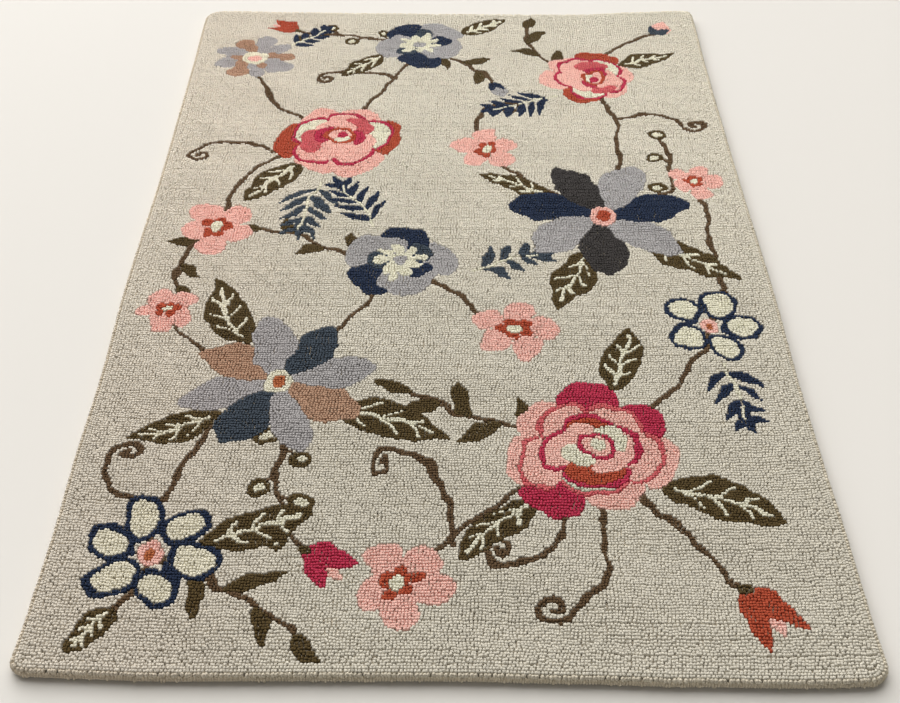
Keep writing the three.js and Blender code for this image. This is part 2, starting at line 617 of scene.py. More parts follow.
@dataclass(frozen=True)
class Tulip:
    """A cup of three petals on its stem's end.

    Attributes:
        across: The cup's foot across the rug, in millimetres.
        along: The cup's foot along the rug.
        height: The cup's height.
        turn: Which way it opens, in degrees from the rug's first axis.
        outer: The yarn of the two outer petals.
        inner: The yarn of the middle petal.
    """

    across: float
    along: float
    height: float
    turn: float
    outer: Yarn = Yarn.BRICK
    inner: Yarn = Yarn.BLUSH

    SPREAD = 20.0
    INNER_REACH = 0.92
    HALF_WIDTH = 0.2
    FULLNESS = 0.72
    ROUNDNESS = 0.8
    FOOT = 0.11

    def paint(self, dyeing: Dyeing) -> None:
        """Tufts the middle petal and then the two outer ones.

        Args:
            dyeing: The loops to work on.
        """
        outer = (-1.0, 1.0, self.outer), (1.0, 1.0, self.outer)
        for side, reach, yarn in ((0.0, self.INNER_REACH, self.inner), *outer):
            bearing = self.turn + side * self.SPREAD
            u, v = dyeing.seen_from(self.across, self.along, bearing)
            share = np.clip(u / (self.height * reach), 0.0, 1.0)
            half = self.height * self.HALF_WIDTH * bulge(share, self.FULLNESS, self.ROUNDNESS)
            dyeing.tuft((u > 0) & (share < 1.0) & (np.abs(v) < half), yarn)
        dyeing.tuft_rounds(self.across, self.along, (self.height * self.FOOT, Yarn.OLIVE))


@dataclass(frozen=True)
class Leaf:
    """A pointed leaf, plain or with a midrib and veins.

    Attributes:
        across: Its foot across the rug, in millimetres.
        along: Its foot along the rug.
        length: Its length.
        turn: Which way it points, in degrees.
        width: Its width.
        blade: The blade's yarn.
        vein: The yarn of the midrib and veins, or none for a plain leaf.
        bow: How far its middle stands aside from the line from foot to tip.
    """

    across: float
    along: float
    length: float
    turn: float
    width: float = 62.0
    blade: Yarn = Yarn.OLIVE
    vein: Yarn | None = Yarn.CREAM
    bow: float = 0.0

    FULLNESS = 0.8
    ROUNDNESS = 0.9
    MIDRIB = 6.6
    MIDRIB_SPAN = (0.1, 0.86)
    VEINS = 3
    VEIN_WIDTH = 8.6
    VEIN_LEAN = 1.15
    VEINS_START = 0.16
    VEINS_LENGTH = 0.66
    VEIN_REACH = 0.72

    def paint(self, dyeing: Dyeing) -> None:
        """Tufts the blade and what runs over it.

        Args:
            dyeing: The loops to work on.
        """
        u, v = dyeing.seen_from(self.across, self.along, self.turn)
        share = np.clip(u / self.length, 0.0, 1.0)
        v = v - self.bow * np.sin(math.pi * share)
        half = self.width / 2 * bulge(share, self.FULLNESS, self.ROUNDNESS)
        inside = (u > 0) & (share < 1.0) & (np.abs(v) < half)
        dyeing.tuft(inside, self.blade)
        if self.vein is None:
            return
        start, end = self.MIDRIB_SPAN
        midrib = inside & (np.abs(v) < self.MIDRIB / 2) & (share > start) & (share < end)
        dyeing.tuft(midrib, self.vein)
        pitch = self.length * self.VEINS_LENGTH / self.VEINS
        climb = u - self.length * self.VEINS_START - np.abs(v) * self.VEIN_LEAN
        count = np.floor(climb / pitch)
        between = (count >= 0) & (count < self.VEINS)
        within = between & (np.abs(v) < half * self.VEIN_REACH)
        dyeing.tuft(inside & within & (np.mod(climb, pitch) < self.VEIN_WIDTH), self.vein)


@dataclass(frozen=True)
class Frond:
    """A spine with narrow leaflets in pairs, the longest at its middle.

    Attributes:
        across: Its foot across the rug, in millimetres.
        along: Its foot along the rug.
        length: Its length.
        turn: Which way it points, in degrees.
        leaflets: How many pairs of leaflets it has.
        blade: The leaflets' yarn.
        spine: The spine's yarn.
    """

    across: float
    along: float
    length: float
    turn: float
    leaflets: int = 5
    blade: Yarn = Yarn.SLATE
    spine: Yarn = Yarn.CREAM

    FIRST_PAIR = 0.12
    PAIRS_LENGTH = 0.62
    LEAFLET_SHARE = 0.42
    LEAFLET_TAPER = 0.55
    LEAFLET_LEAN = 48.0
    LEAFLET_GIRTH = 15.0
    END_START = 0.6
    END_LENGTH = 0.4
    END_GIRTH = 20.0
    SPINE_LENGTH = 0.78
    SPINE_GIRTH = 4.8

    def paint(self, dyeing: Dyeing) -> None:
        """Tufts the leaflets, the end leaflet and the spine.

        Args:
            dyeing: The loops to work on.
        """
        angle = math.radians(self.turn)
        ahead = np.array([math.cos(angle), math.sin(angle)])
        foot = np.array([self.across, self.along])
        for pair in range(self.leaflets):
            share = self.FIRST_PAIR + self.PAIRS_LENGTH * pair / (self.leaflets - 1)
            x, y = foot + ahead * self.length * share
            length = self.length * self.LEAFLET_SHARE * (1 - self.LEAFLET_TAPER * share)
            for side in (-1.0, 1.0):
                lean = self.turn + side * self.LEAFLET_LEAN
                leaflet = Leaf(x, y, length, lean, self.LEAFLET_GIRTH, self.blade, None)
                leaflet.paint(dyeing)
        x, y = foot + ahead * self.length * self.END_START
        length = self.length * self.END_LENGTH
        Leaf(x, y, length, self.turn, self.END_GIRTH, self.blade, None).paint(dyeing)
        route = foot + ahead * self.length * np.array([[0.0], [self.SPINE_LENGTH]])
        tuft_along(dyeing, route, self.SPINE_GIRTH, self.spine)


@dataclass(frozen=True)
class Berries:
    """Round berries on short stalks, left and right of a bending stem.

    Attributes:
        stem: The stem.
        count: How many berries it carries.
        radius: A berry's radius.
        rind: The yarn of a berry's outside.
        heart: The yarn of its inside.
        stalk: A stalk's length.
    """

    stem: Vine
    count: int
    radius: float
    rind: Yarn = Yarn.OLIVE
    heart: Yarn = Yarn.CREAM
    stalk: float = 32.0

    FIRST = 0.25
    FORWARD = 0.6
    ASIDE = 0.8
    STALK_GIRTH = 6.0
    HEART_SHARE = 0.5

    def paint(self, dyeing: Dyeing) -> None:
        """Tufts the stem, the stalks and the berries.

        Args:
            dyeing: The loops to work on.
        """
        self.stem.paint(dyeing)
        rounds = (self.radius, self.rind), (self.radius * self.HEART_SHARE, self.heart)
        for berry in range(self.count):
            share = self.FIRST + (1 - self.FIRST) * berry / (self.count - 1)
            foot, ahead = self.stem.foothold(share)
            ahead = ahead / np.linalg.norm(ahead)
            side = np.array([-ahead[1], ahead[0]]) * (1 if berry % 2 else -1)
            lean = ahead * self.FORWARD + side * self.ASIDE
            if berry == self.count - 1:
                lean = ahead
            middle = foot + lean * self.stalk
            tuft_along(dyeing, np.stack([foot, middle]), self.STALK_GIRTH, self.stem.yarn)
            dyeing.tuft_rounds(*middle, *rounds)


@dataclass(frozen=True)
class Bud:
    """A closed bud held in two sepals.

    Attributes:
        across: Its foot across the rug, in millimetres.
        along: Its foot along the rug.
        length: Its length.
        turn: Which way it points, in degrees.
        petal: The bud's yarn.
        sepal: The sepals' yarn.
    """

    across: float
    along: float
    length: float
    turn: float
    petal: Yarn = Yarn.BLUSH
    sepal: Yarn = Yarn.SLATE

    PETAL_GIRTH = 0.62
    SEPAL_LENGTH = 0.62
    SEPAL_GIRTH = 0.3
    SEPAL_LEAN = 24.0

    def paint(self, dyeing: Dyeing) -> None:
        """Tufts the petal and the sepals over its foot.

        Args:
            dyeing: The loops to work on.
        """
        place = (self.across, self.along)
        girth = self.length * self.PETAL_GIRTH
        Leaf(*place, self.length, self.turn, girth, self.petal, None).paint(dyeing)
        length = self.length * self.SEPAL_LENGTH
        girth = self.length * self.SEPAL_GIRTH
        for side in (-1.0, 1.0):
            turn = self.turn + side * self.SEPAL_LEAN
            Leaf(*place, length, turn, girth, self.sepal, None).paint(dyeing)


CABBAGE_RINGS = (
    PetalRing(1.00, 6, 0.20, 12.0, (Yarn.BLUSH, Yarn.BRICK, Yarn.BLUSH)),
    PetalRing(0.80, 5, 0.22, 38.0, (Yarn.CREAM, Yarn.BLUSH, Yarn.BLUSH), Yarn.CRIMSON),
    PetalRing(0.60, 5, 0.24, 5.0, (Yarn.BLUSH, Yarn.ROSE, Yarn.BLUSH)),
    PetalRing(0.42, 4, 0.22, 50.0, (Yarn.CRIMSON, Yarn.BLUSH)),
    PetalRing(0.26, 3, 0.20, 20.0, (Yarn.BLUSH, Yarn.CREAM, Yarn.BLUSH), Yarn.BRICK),
    PetalRing(0.10, 1, 0.0, 0.0, (Yarn.CRIMSON,)),
)
DEEP_RINGS = (
    PetalRing(1.00, 7, 0.22, 20.0, (Yarn.CRIMSON, Yarn.BLUSH, Yarn.BLUSH)),
    PetalRing(0.80, 5, 0.24, 50.0, (Yarn.BLUSH, Yarn.BLUSH, Yarn.CELADON), Yarn.ROSE),
    PetalRing(0.60, 4, 0.24, 10.0, (Yarn.BRICK, Yarn.BLUSH), Yarn.CRIMSON),
    PetalRing(0.42, 4, 0.2, 40.0, (Yarn.BLUSH, Yarn.CREAM)),
    PetalRing(0.25, 3, 0.2, 70.0, (Yarn.BLUSH,), Yarn.CRIMSON),
    PetalRing(0.10, 1, 0.0, 0.0, (Yarn.CREAM,)),
)
WINDFLOWER_RINGS = (
    PetalRing(1.00, 5, 0.26, 0.0, (Yarn.LAVENDER, Yarn.NAVY, Yarn.LAVENDER)),
    PetalRing(0.66, 5, 0.55, 30.0, (Yarn.SLATE, Yarn.LAVENDER, Yarn.NAVY)),
    PetalRing(0.48, 9, 0.62, 6.0, (Yarn.CREAM,)),
    PetalRing(0.15, 1, 0.0, 0.0, (Yarn.LAVENDER,)),
)
ASTER_RINGS = (
    PetalRing(1.00, 9, 0.42, 0.0, (Yarn.LAVENDER, Yarn.TAUPE, Yarn.LAVENDER)),
    PetalRing(0.58, 9, 0.50, 20.0, (Yarn.TAUPE, Yarn.LAVENDER)),
    PetalRing(0.30, 1, 0.0, 0.0, (Yarn.CREAM,)),
    PetalRing(0.14, 1, 0.0, 0.0, (Yarn.BLUSH,)),
)
PRIMROSE_RINGS = (
    PetalRing(1.00, 5, 0.52, 0.0, (Yarn.BLUSH,)),
    PetalRing(0.40, 5, 0.60, 36.0, (Yarn.BRICK,)),
    PetalRing(0.16, 1, 0.0, 0.0, (Yarn.CREAM,)),
)
DARK_RAYS = (
    Yarn.NAVY, Yarn.LAVENDER, Yarn.CHARCOAL, Yarn.LAVENDER, Yarn.NAVY, Yarn.LAVENDER, Yarn.CHARCOAL,
)
EARTH_RAYS = (Yarn.TAUPE, Yarn.LAVENDER, Yarn.SLATE, Yarn.LAVENDER)

STEMS = (
    Vine(((270, 90), (340, 220), (340, 400), (285, 560))),
    Vine(((285, 560), (310, 660), (380, 690), (440, 740))),
    Vine(((270, 90), (180, 160), (120, 190), (70, 300))),
    Vine(((-210, 330), (-160, 470), (-110, 560), (-60, 690))),
    Vine(((-210, 330), (-320, 300), (-400, 220), (-405, 70))),
    Vine(((-210, 330), (-320, 420), (-400, 500), (-405, 640))),
    Vine(((-255, -330), (-180, -220), (-120, -140), (-85, -40))),
    Vine(((-255, -330), (-360, -420), (-410, -520), (-395, -650))),
    Vine(((-255, -330), (-340, -280), (-410, -250), (-455, -170))),
    Vine(((200, -470), (300, -400), (380, -320), (420, -200))),
    Vine(((200, -470), (100, -540), (10, -600), (-60, -700))),
    Vine(((200, -470), (280, -560), (330, -640), (385, -720))),
    Vine(((-85, -40), (-10, -100), (40, -160), (100, -210))),
    Vine(((420, -200), (470, -90), (450, 30), (452, 190))),
    Vine(((-395, -650), (-400, -690), (-410, -720), (-424, -746))),
)
CURLS = (
    CurledVine(Vine(((330, 400), (400, 440), (440, 420), (462, 372))), 20),
    CurledVine(Vine(((70, 300), (40, 380), (60, 440), (110, 462))), 22, -1.2),
    CurledVine(Vine(((-330, 290), (-400, 330), (-450, 330), (-482, 290))), 20),
    CurledVine(Vine(((210, -560), (220, -670), (200, -725), (150, -755))), 22, -1.2),
    CurledVine(Vine(((170, -560), (150, -640), (110, -690), (62, -668))), 20, -1.2),
    CurledVine(Vine(((-390, -560), (-470, -580), (-490, -520), (-478, -470))), 20, -1.15),
    CurledVine(Vine(((12, -632), (-4, -500), (-40, -470), (-92, -470))), 22, 1.2),
    CurledVine(Vine(((-110, 560), (-190, 600), (-230, 590), (-262, 560))), 18),
)
SPRAYS = (
    LeafyVine(Vine(((-85, -40), (-190, -20), (-250, 40), (-330, 50))), 3, 78, 24, 50),
    LeafyVine(Vine(((200, -470), (90, -420), (20, -400), (-60, -350))), 4, 92, 28, 46),
    LeafyVine(Vine(((-395, -650), (-300, -700), (-250, -720), (-190, -780))), 3, 86, 27),
    LeafyVine(Vine(((285, 560), (200, 620), (160, 680), (170, 760))), 3, 82, 27, 46),
    LeafyVine(Vine(((-60, 690), (20, 640), (60, 600), (90, 540))), 3, 76, 25),
    LeafyVine(Vine(((-405, 70), (-460, -10), (-470, -60), (-440, -110))), 2, 64, 22),
)
BERRIES = (
    Berries(Vine(((270, 90), (390, 110), (440, 180), (405, 320))), 5, 16),
    Berries(Vine(((-255, -330), (-230, -470), (-260, -560), (-190, -640))), 6, 17),
    Berries(Vine(((-60, 690), (-170, 730), (-250, 720), (-330, 760))), 5, 14),
)
LEAVES = (
    Leaf(330, 20, 190, 326, 76),
    Leaf(235, -10, 170, 250, 68),
    Leaf(180, 150, 140, 152, 52),
    Leaf(-320, -250, 175, 114, 70),
    Leaf(-170, -380, 185, 340, 76),
    Leaf(-330, -400, 150, 198, 58),
    Leaf(300, -530, 180, 338, 74),
    Leaf(120, -560, 150, 222, 56),
    Leaf(240, -350, 150, 70, 60),
    Leaf(-130, 650, 130, 220, 50),
    Leaf(20, 740, 120, 30, 46),
    Leaf(350, 610, 135, 20, 50),
    Leaf(-330, -640, 165, 22),
    Leaf(-420, -740, 90, 230, 44),
    Leaf(-280, 250, 150, 232, 58),
    Frond(-240, 190, 180, 262),
    Frond(-130, 60, 175, 118, blade=Yarn.NAVY),
    Frond(215, 480, 165, 200, blade=Yarn.NAVY),
    Frond(420, -290, 150, 282, 4, Yarn.NAVY),
    Frond(40, -60, 150, 20, 4),
    Frond(-340, 690, 120, 40, 4, Yarn.NAVY),
)
BIG_FLOWERS = (
    RayFlower(270, 90, 165, 80, 7, DARK_RAYS, eye_radius=26, turn=166),
    LayeredFlower(-210, 330, 126, CABBAGE_RINGS, 80, 0.92, 0.16),
    LayeredFlower(200, -470, 130, DEEP_RINGS, 40, 0.94, 0.16),
    LayeredFlower(285, 560, 104, CABBAGE_RINGS, 330, 0.9, 0.14),
    RayFlower(-255, -330, 150, 70, 8, EARTH_RAYS, (Yarn.CREAM, Yarn.RUST), turn=150),
    LayeredFlower(-60, 695, 98, WINDFLOWER_RINGS, 160, 0.94),
    LayeredFlower(-85, -40, 98, WINDFLOWER_RINGS, 115, 0.95),
    LayeredFlower(-405, 640, 90, ASTER_RINGS, 180, 0.92),
    OutlinedBlossom(-395, -650, 96, 6, 165),
    OutlinedBlossom(420, -200, 84, 5, 140),
)
SMALL_FLOWERS = (
    LayeredFlower(-405, 55, 70, PRIMROSE_RINGS, 15),
    LayeredFlower(70, 300, 66, PRIMROSE_RINGS, 60),
    LayeredFlower(-60, -700, 68, PRIMROSE_RINGS, 20),
    LayeredFlower(105, -212, 68, PRIMROSE_RINGS, 40),
    LayeredFlower(-455, -165, 52, PRIMROSE_RINGS, 5),
    LayeredFlower(452, 195, 50, PRIMROSE_RINGS, 30),
    Tulip(385, -715, 88, 300),
    Tulip(-330, 758, 66, 155),
    Tulip(-190, -640, 74, 315, Yarn.CRIMSON),
    Bud(438, 736, 70, 60),
    Bud(90, 545, 66, 290, Yarn.LAVENDER, Yarn.NAVY),
)


def pattern() -> tuple:
    """The motifs in the order in which they are tufted, stems before flowers."""
    return STEMS + CURLS + SPRAYS + BERRIES + LEAVES + BIG_FLOWERS + SMALL_FLOWERS


def to_linear(display: np.ndarray) -> np.ndarray:
    """Display colours as the linear values that shaders work in.

    Args:
        display: Red, green and blue between 0 and 1.

    Returns:
        An array of the same shape.
    """
    display = np.asarray(display, float)
    return np.where(display <= 0.04045, display / 12.92, ((display + 0.055) / 1.055) ** 2.4)


def linear_rgba(display: tuple[float, float, float]) -> tuple[float, float, float, float]:
    """One display colour as a shader socket's value."""
    red, green, blue = to_linear(np.array(display))
    return float(red), float(green), float(blue), 1.0


def eased(values: np.ndarray, low: float, high: float) -> np.ndarray:
    """A soft step from 0 at one value to 1 at another.

    Args:
        values: Where to read the step.
        low: Where it is 0.
        high: Where it is 1.

    Returns:
        The step's height at each value.
    """
    share = np.clip((values - low) / (high - low), 0.0, 1.0)
    return share * share * (3 - 2 * share)


@dataclass
class RugForm:
    """The rug's true shape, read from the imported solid.

    Attributes:
        outline: Its widest line as a closed ring of points, counter-clockwise.
        surface: Its surface, for finding where a loop's tip lies.
        top: The height of its highest point.
    """

    outline: np.ndarray
    surface: BVHTree
    top: float

    LEVEL_STEP = 1e-4
    FEWEST_IN_RING = 60
    BATCH = 4096
    SMOOTHED_STEPS = 12
    FINE_STEPS = 4
    STRAIGHT_RUN = 0.03
    WELD = 1e-6
    CLEAR = 0.1

    @classmethod
    def from_node(cls, node: bpy.types.Object) -> "RugForm":
        """Reads the form from the frame's rug node.

        Args:
            node: The frame's object for the rug.

        Returns:
            The form.
        """
        mesh = bmesh.new()
        mesh.from_mesh(node.data)
        bmesh.ops.remove_doubles(mesh, verts=mesh.verts, dist=cls.WELD)
        surface = BVHTree.FromBMesh(mesh)
        corners = np.array([vertex.co for vertex in mesh.verts])
        mesh.free()
        levels = np.round(corners[:, 2] / cls.LEVEL_STEP)
        rings = [corners[levels == level] for level in np.unique(levels)]
        widest = max(
            (ring for ring in rings if len(ring) >= cls.FEWEST_IN_RING),
            key=lambda ring: np.ptp(ring[:, 0]),
        )
        bearing = np.arctan2(widest[:, 1], widest[:, 0])
        return cls(widest[np.argsort(bearing), :2], surface, float(corners[:, 2].max()))

    def inset_of(self, places: np.ndarray) -> np.ndarray:
        """How far inside the outline each place lies.

        Args:
            places: Places across and along the rug.

        Returns:
            The distance to the outline, negative outside it.
        """
        start = self.outline
        run = np.roll(start, -1, axis=0) - start
        length = (run**2).sum(1)
        inset = np.empty(len(places))
        for first in range(0, len(places), self.BATCH):
            offset = places[first : first + self.BATCH, None] - start
            share = np.clip((offset * run).sum(2) / length, 0, 1)
            gap = np.linalg.norm(offset - share[..., None] * run, axis=2)
            side = run[:, 0] * offset[..., 1] - run[:, 1] * offset[..., 0]
            nearest = gap.argmin(1)
            sign = np.sign(side[np.arange(len(offset)), nearest])
            inset[first : first + self.BATCH] = gap.min(1) * sign
        return inset

    def edge(self, axis: int, side: int, inset: float) -> tuple[np.ndarray, np.ndarray]:
        """One edge of the outline without its rounded corners, drawn in by an inset.

        Args:
            axis: The axis that the edge is reached along, 0 for a side and 1 for an end.
            side: 1 for the edge at the axis's positive end and -1 for the other.
            inset: How far in from the outline the line lies.

        Returns:
            Positions along the edge and, for each, the line's place on the axis.
        """
        position = self.outline[:, 1 - axis]
        place = self.outline[:, axis]
        straight = np.abs(np.roll(position, -1) - position) > self.STRAIGHT_RUN
        straight |= np.roll(straight, 1)
        picked = np.flatnonzero(straight & (place * side > 0))
        order = picked[np.argsort(position[picked])]
        return position[order], place[order] - side * inset

    def walk(self, spacing: float, inset: float) -> tuple[np.ndarray, np.ndarray]:
        """Even steps along the outline, drawn in by an inset.

        Args:
            spacing: The distance from step to step.
            inset: How far in from the outline the steps lie.

        Returns:
            The places and the outward directions.
        """
        closed = np.vstack([self.outline, self.outline[:1]])
        step = np.linalg.norm(np.diff(closed, axis=0), axis=1)
        travelled = np.concatenate([[0.0], step.cumsum()])
        count = round(travelled[-1] / spacing)
        fine = np.linspace(0.0, travelled[-1], count * self.FINE_STEPS, endpoint=False)
        route = np.stack([np.interp(fine, travelled, closed[:, i]) for i in (0, 1)], axis=1)
        ahead = np.roll(route, -self.SMOOTHED_STEPS, axis=0)
        ahead = ahead - np.roll(route, self.SMOOTHED_STEPS, axis=0)
        ahead /= np.linalg.norm(ahead, axis=1)[:, None]
        outward = np.stack([ahead[:, 1], -ahead[:, 0]], axis=1)
        line = route - outward * inset
        covered = np.linalg.norm(np.diff(line, axis=0), axis=1).cumsum()
        chosen = np.searchsorted(covered, np.linspace(0.0, covered[-1], count, endpoint=False))
        return line[chosen], outward[chosen]

    def tips(self, origins: np.ndarray, directions: np.ndarray) -> tuple[np.ndarray, np.ndarray]:
        """Where lines meet the rug's surface.

        Args:
            origins: A point outside the rug for each line.
            directions: Each line's direction.

        Returns:
            The points on the surface and the outward normals there.
        """
        places = np.empty_like(origins)
        normals = np.empty_like(origins)
        for i, (origin, direction) in enumerate(zip(origins, directions)):
            place, normal, _, _ = self.surface.ray_cast(Vector(origin), Vector(direction))
            if place is None:
                place, normal, _, _ = self.surface.find_nearest(Vector(origin))
            places[i] = place
            normals[i] = normal
        return places, normals

    def tips_below(self, places: np.ndarray) -> tuple[np.ndarray, np.ndarray]:
        """The points of the surface straight below places, and the normals there."""
        origins = np.column_stack([places, np.full(len(places), self.top + self.CLEAR)])
        return self.tips(origins, np.tile([0.0, 0.0, -1.0], (len(places), 1)))


@dataclass
class LoopSet:
    """Loops of yarn that stand on a surface, one row of each array for each loop.

    Attributes:
        tips: The loops' outermost points.
        stand: The directions in which they stand.
        lie: The directions in which they are longest.
        girth: Their length, width and height.
        wool: Their linear colours, with alpha.
    """

    tips: np.ndarray
    stand: np.ndarray
    lie: np.ndarray
    girth: np.ndarray
    wool: np.ndarray

    def __len__(self) -> int:
        """How many loops there are."""
        return len(self.tips)

    def values(self) -> tuple[np.ndarray, ...]:
        """The five arrays, in the order in which a set is made of them."""
        return self.tips, self.stand, self.lie, self.girth, self.wool

    def part(self, picked: np.ndarray) -> "LoopSet":
        """The loops that are picked by index or truth value."""
        return LoopSet(*(value[picked] for value in self.values()))

    def joined(self, other: "LoopSet") -> "LoopSet":
        """These loops and another set's."""
        return LoopSet(*(np.vstack(pair) for pair in zip(self.values(), other.values())))

    def as_points(self, name: str) -> bpy.types.Object:
        """A mesh of bare points that carries each loop's values as attributes.

        Args:
            name: The object's name.

        Returns:
            The object, linked to the scene.
        """
        mesh = bpy.data.meshes.new(name)
        mesh.vertices.add(len(self))
        mesh.vertices.foreach_set("co", self.tips.astype(np.float32).ravel())
        cells = cells_a_side(len(self))
        index = np.arange(len(self))
        corner = np.stack([index % cells, index // cells, 0 * index], axis=1) / cells
        directions = {"stand": self.stand, "lie": self.lie, "girth": self.girth, "cell": corner}
        for label, values in directions.items():
            layer = mesh.attributes.new(label, "FLOAT_VECTOR", "POINT")
            layer.data.foreach_set("vector", values.astype(np.float32).ravel())
        layer = mesh.attributes.new("wool", "FLOAT_COLOR", "POINT")
        layer.data.foreach_set("color", self.wool.astype(np.float32).ravel())
        return linked(bpy.data.objects.new(name, mesh))


def cells_a_side(count: int) -> int:
    """How many cells a square map needs along each side to give every loop its own."""
    return math.ceil(math.sqrt(count))


def linked(obj: bpy.types.Object) -> bpy.types.Object:
    """Puts an object in the scene and gives it back."""
    bpy.context.scene.collection.objects.link(obj)
    return obj


@dataclass(frozen=True)
class YarnLoop:
    """One loop of yarn, about a unit long and wide and a unit high, its tip at the origin.

    Attributes:
        name: The mesh's name.
        corners: How many corners each ring has.
        rings: From foot to tip, each ring's half length, half width, depth and turn in corners.
    """

    name: str
    corners: int
    rings: tuple[tuple[float, float, float, float], ...]

    def build(self) -> bpy.types.Object:
        """Builds the loop, which carries its height and its plan as attributes.

        Returns:
            An object that isn't linked to the scene.
        """
        mesh = bmesh.new()
        levels = []
        for half_length, half_width, depth, turn in self.rings:
            angles = [2 * math.pi * (i + turn) / self.corners for i in range(self.corners)]
            levels.append([
                mesh.verts.new((half_length * math.cos(a), half_width * math.sin(a), -depth))
                for a in angles
            ])
        for lower, upper in zip(levels[:-1], levels[1:]):
            for i in range(self.corners):
                after = (i + 1) % self.corners
                mesh.faces.new((lower[i], lower[after], upper[i]))
                mesh.faces.new((lower[after], upper[after], upper[i]))
        mesh.faces.new(levels[-1])
        bmesh.ops.triangulate(mesh, faces=mesh.faces[:])
        data = bpy.data.meshes.new(self.name)
        mesh.to_mesh(data)
        mesh.free()
        places = np.array([vertex.co for vertex in data.vertices], np.float32)
        plan = np.zeros_like(places)
        plan[:, :2] = places[:, :2] / np.ptp(places[:, :2], axis=0) + 0.5
        data.attributes.new("plan", "FLOAT_VECTOR", "POINT").data.foreach_set("vector", plan.ravel())
        rise = 1.0 + places[:, 2]
        data.attributes.new("rise", "FLOAT", "POINT").data.foreach_set("value", rise)
        return bpy.data.objects.new(self.name, data)


PILE_LOOP = YarnLoop("pile_loop", 4, ((0.74, 0.76, 1.0, 0.5), (0.47, 0.47, 0.0, 0.5)))
RIM_LOOP = YarnLoop(
    "rim_loop",
    5,
    ((0.50, 0.52, 1.0, 0.0), (0.49, 0.46, 0.42, 0.5), (0.30, 0.24, 0.0, 0.0)),
)


class NodeSheet:
    """A node tree under construction, shader or geometry, with short ways to add to it."""

    def __init__(self, tree: bpy.types.NodeTree) -> None:
        """Starts on an empty tree."""
        self.tree = tree

    def socket(self, name: str, kind: str, way: str = "INPUT", value: object = None) -> None:
        """Adds a named socket to the tree's interface.

        Args:
            name: The socket's name.
            kind: Its type, such as NodeSocketFloat.
            way: INPUT or OUTPUT.
            value: Its default, if it has one.
        """
        added = self.tree.interface.new_socket(name, in_out=way, socket_type=kind)
        if value is not None:
            added.default_value = value

    def node(self, kind: str, settings: dict | None = None, **inputs: object) -> bpy.types.Node:
        """Adds a node, with its settings and inputs.

        Args:
            kind: The node's type.
            settings: Its properties.
            inputs: For each input, by name or by "in" and a number, a value or a socket.

        Returns:
            The node.
        """
        made = self.tree.nodes.new(kind)
        for label, value in (settings or {}).items():
            setattr(made, label, value)
        for label, value in inputs.items():
            key = int(label[2:]) if label[:2] == "in" and label[2:].isdigit() else label
            target = made.inputs[key if isinstance(key, int) else key.replace("_", " ")]
            if isinstance(value, bpy.types.NodeSocket):
                self.tree.links.new(value, target)
            else:
                target.default_value = value
        return made

    def shown(self, made: bpy.types.Node) -> bpy.types.NodeSocket:
        """The one output of a node that its settings leave in use."""
        return next(output for output in made.outputs if output.enabled)

    def maths(self, operation: str, *values: object) -> bpy.types.NodeSocket:
        """The result of an operation on numbers."""
        inputs = {f"in{i}": value for i, value in enumerate(values)}
        return self.node("ShaderNodeMath", {"operation": operation}, **inputs).outputs[0]

    def vectors(self, operation: str, first: object, **others: object) -> bpy.types.NodeSocket:
        """The result of an operation on vectors."""
        settings = {"operation": operation}
        return self.node("ShaderNodeVectorMath", settings, in0=first, **others).outputs[0]

    def mapped(self, value: bpy.types.NodeSocket, source: tuple[float, float],
               target: tuple[float, float], way: str = "LINEAR") -> bpy.types.NodeSocket:
        """Carries a value over from one range to another and holds it there.

        Args:
            value: The value.
            source: The range that it is read in.
            target: The range that it is carried to.
            way: How it goes from one end to the other.

        Returns:
            The socket of the new value.
        """
        settings = {"interpolation_type": way}
        ends = {f"in{i}": end for i, end in enumerate((*source, *target), start=1)}
        return self.node("ShaderNodeMapRange", settings, Value=value, **ends).outputs[0]

    def ridges(self, value: bpy.types.NodeSocket) -> bpy.types.NodeSocket:
        """A wave that rises to 1 and falls to 0 again over every unit of a value."""
        return self.mapped(self.maths("PINGPONG", value, 0.5), (0.0, 0.5), (0.0, 1.0))


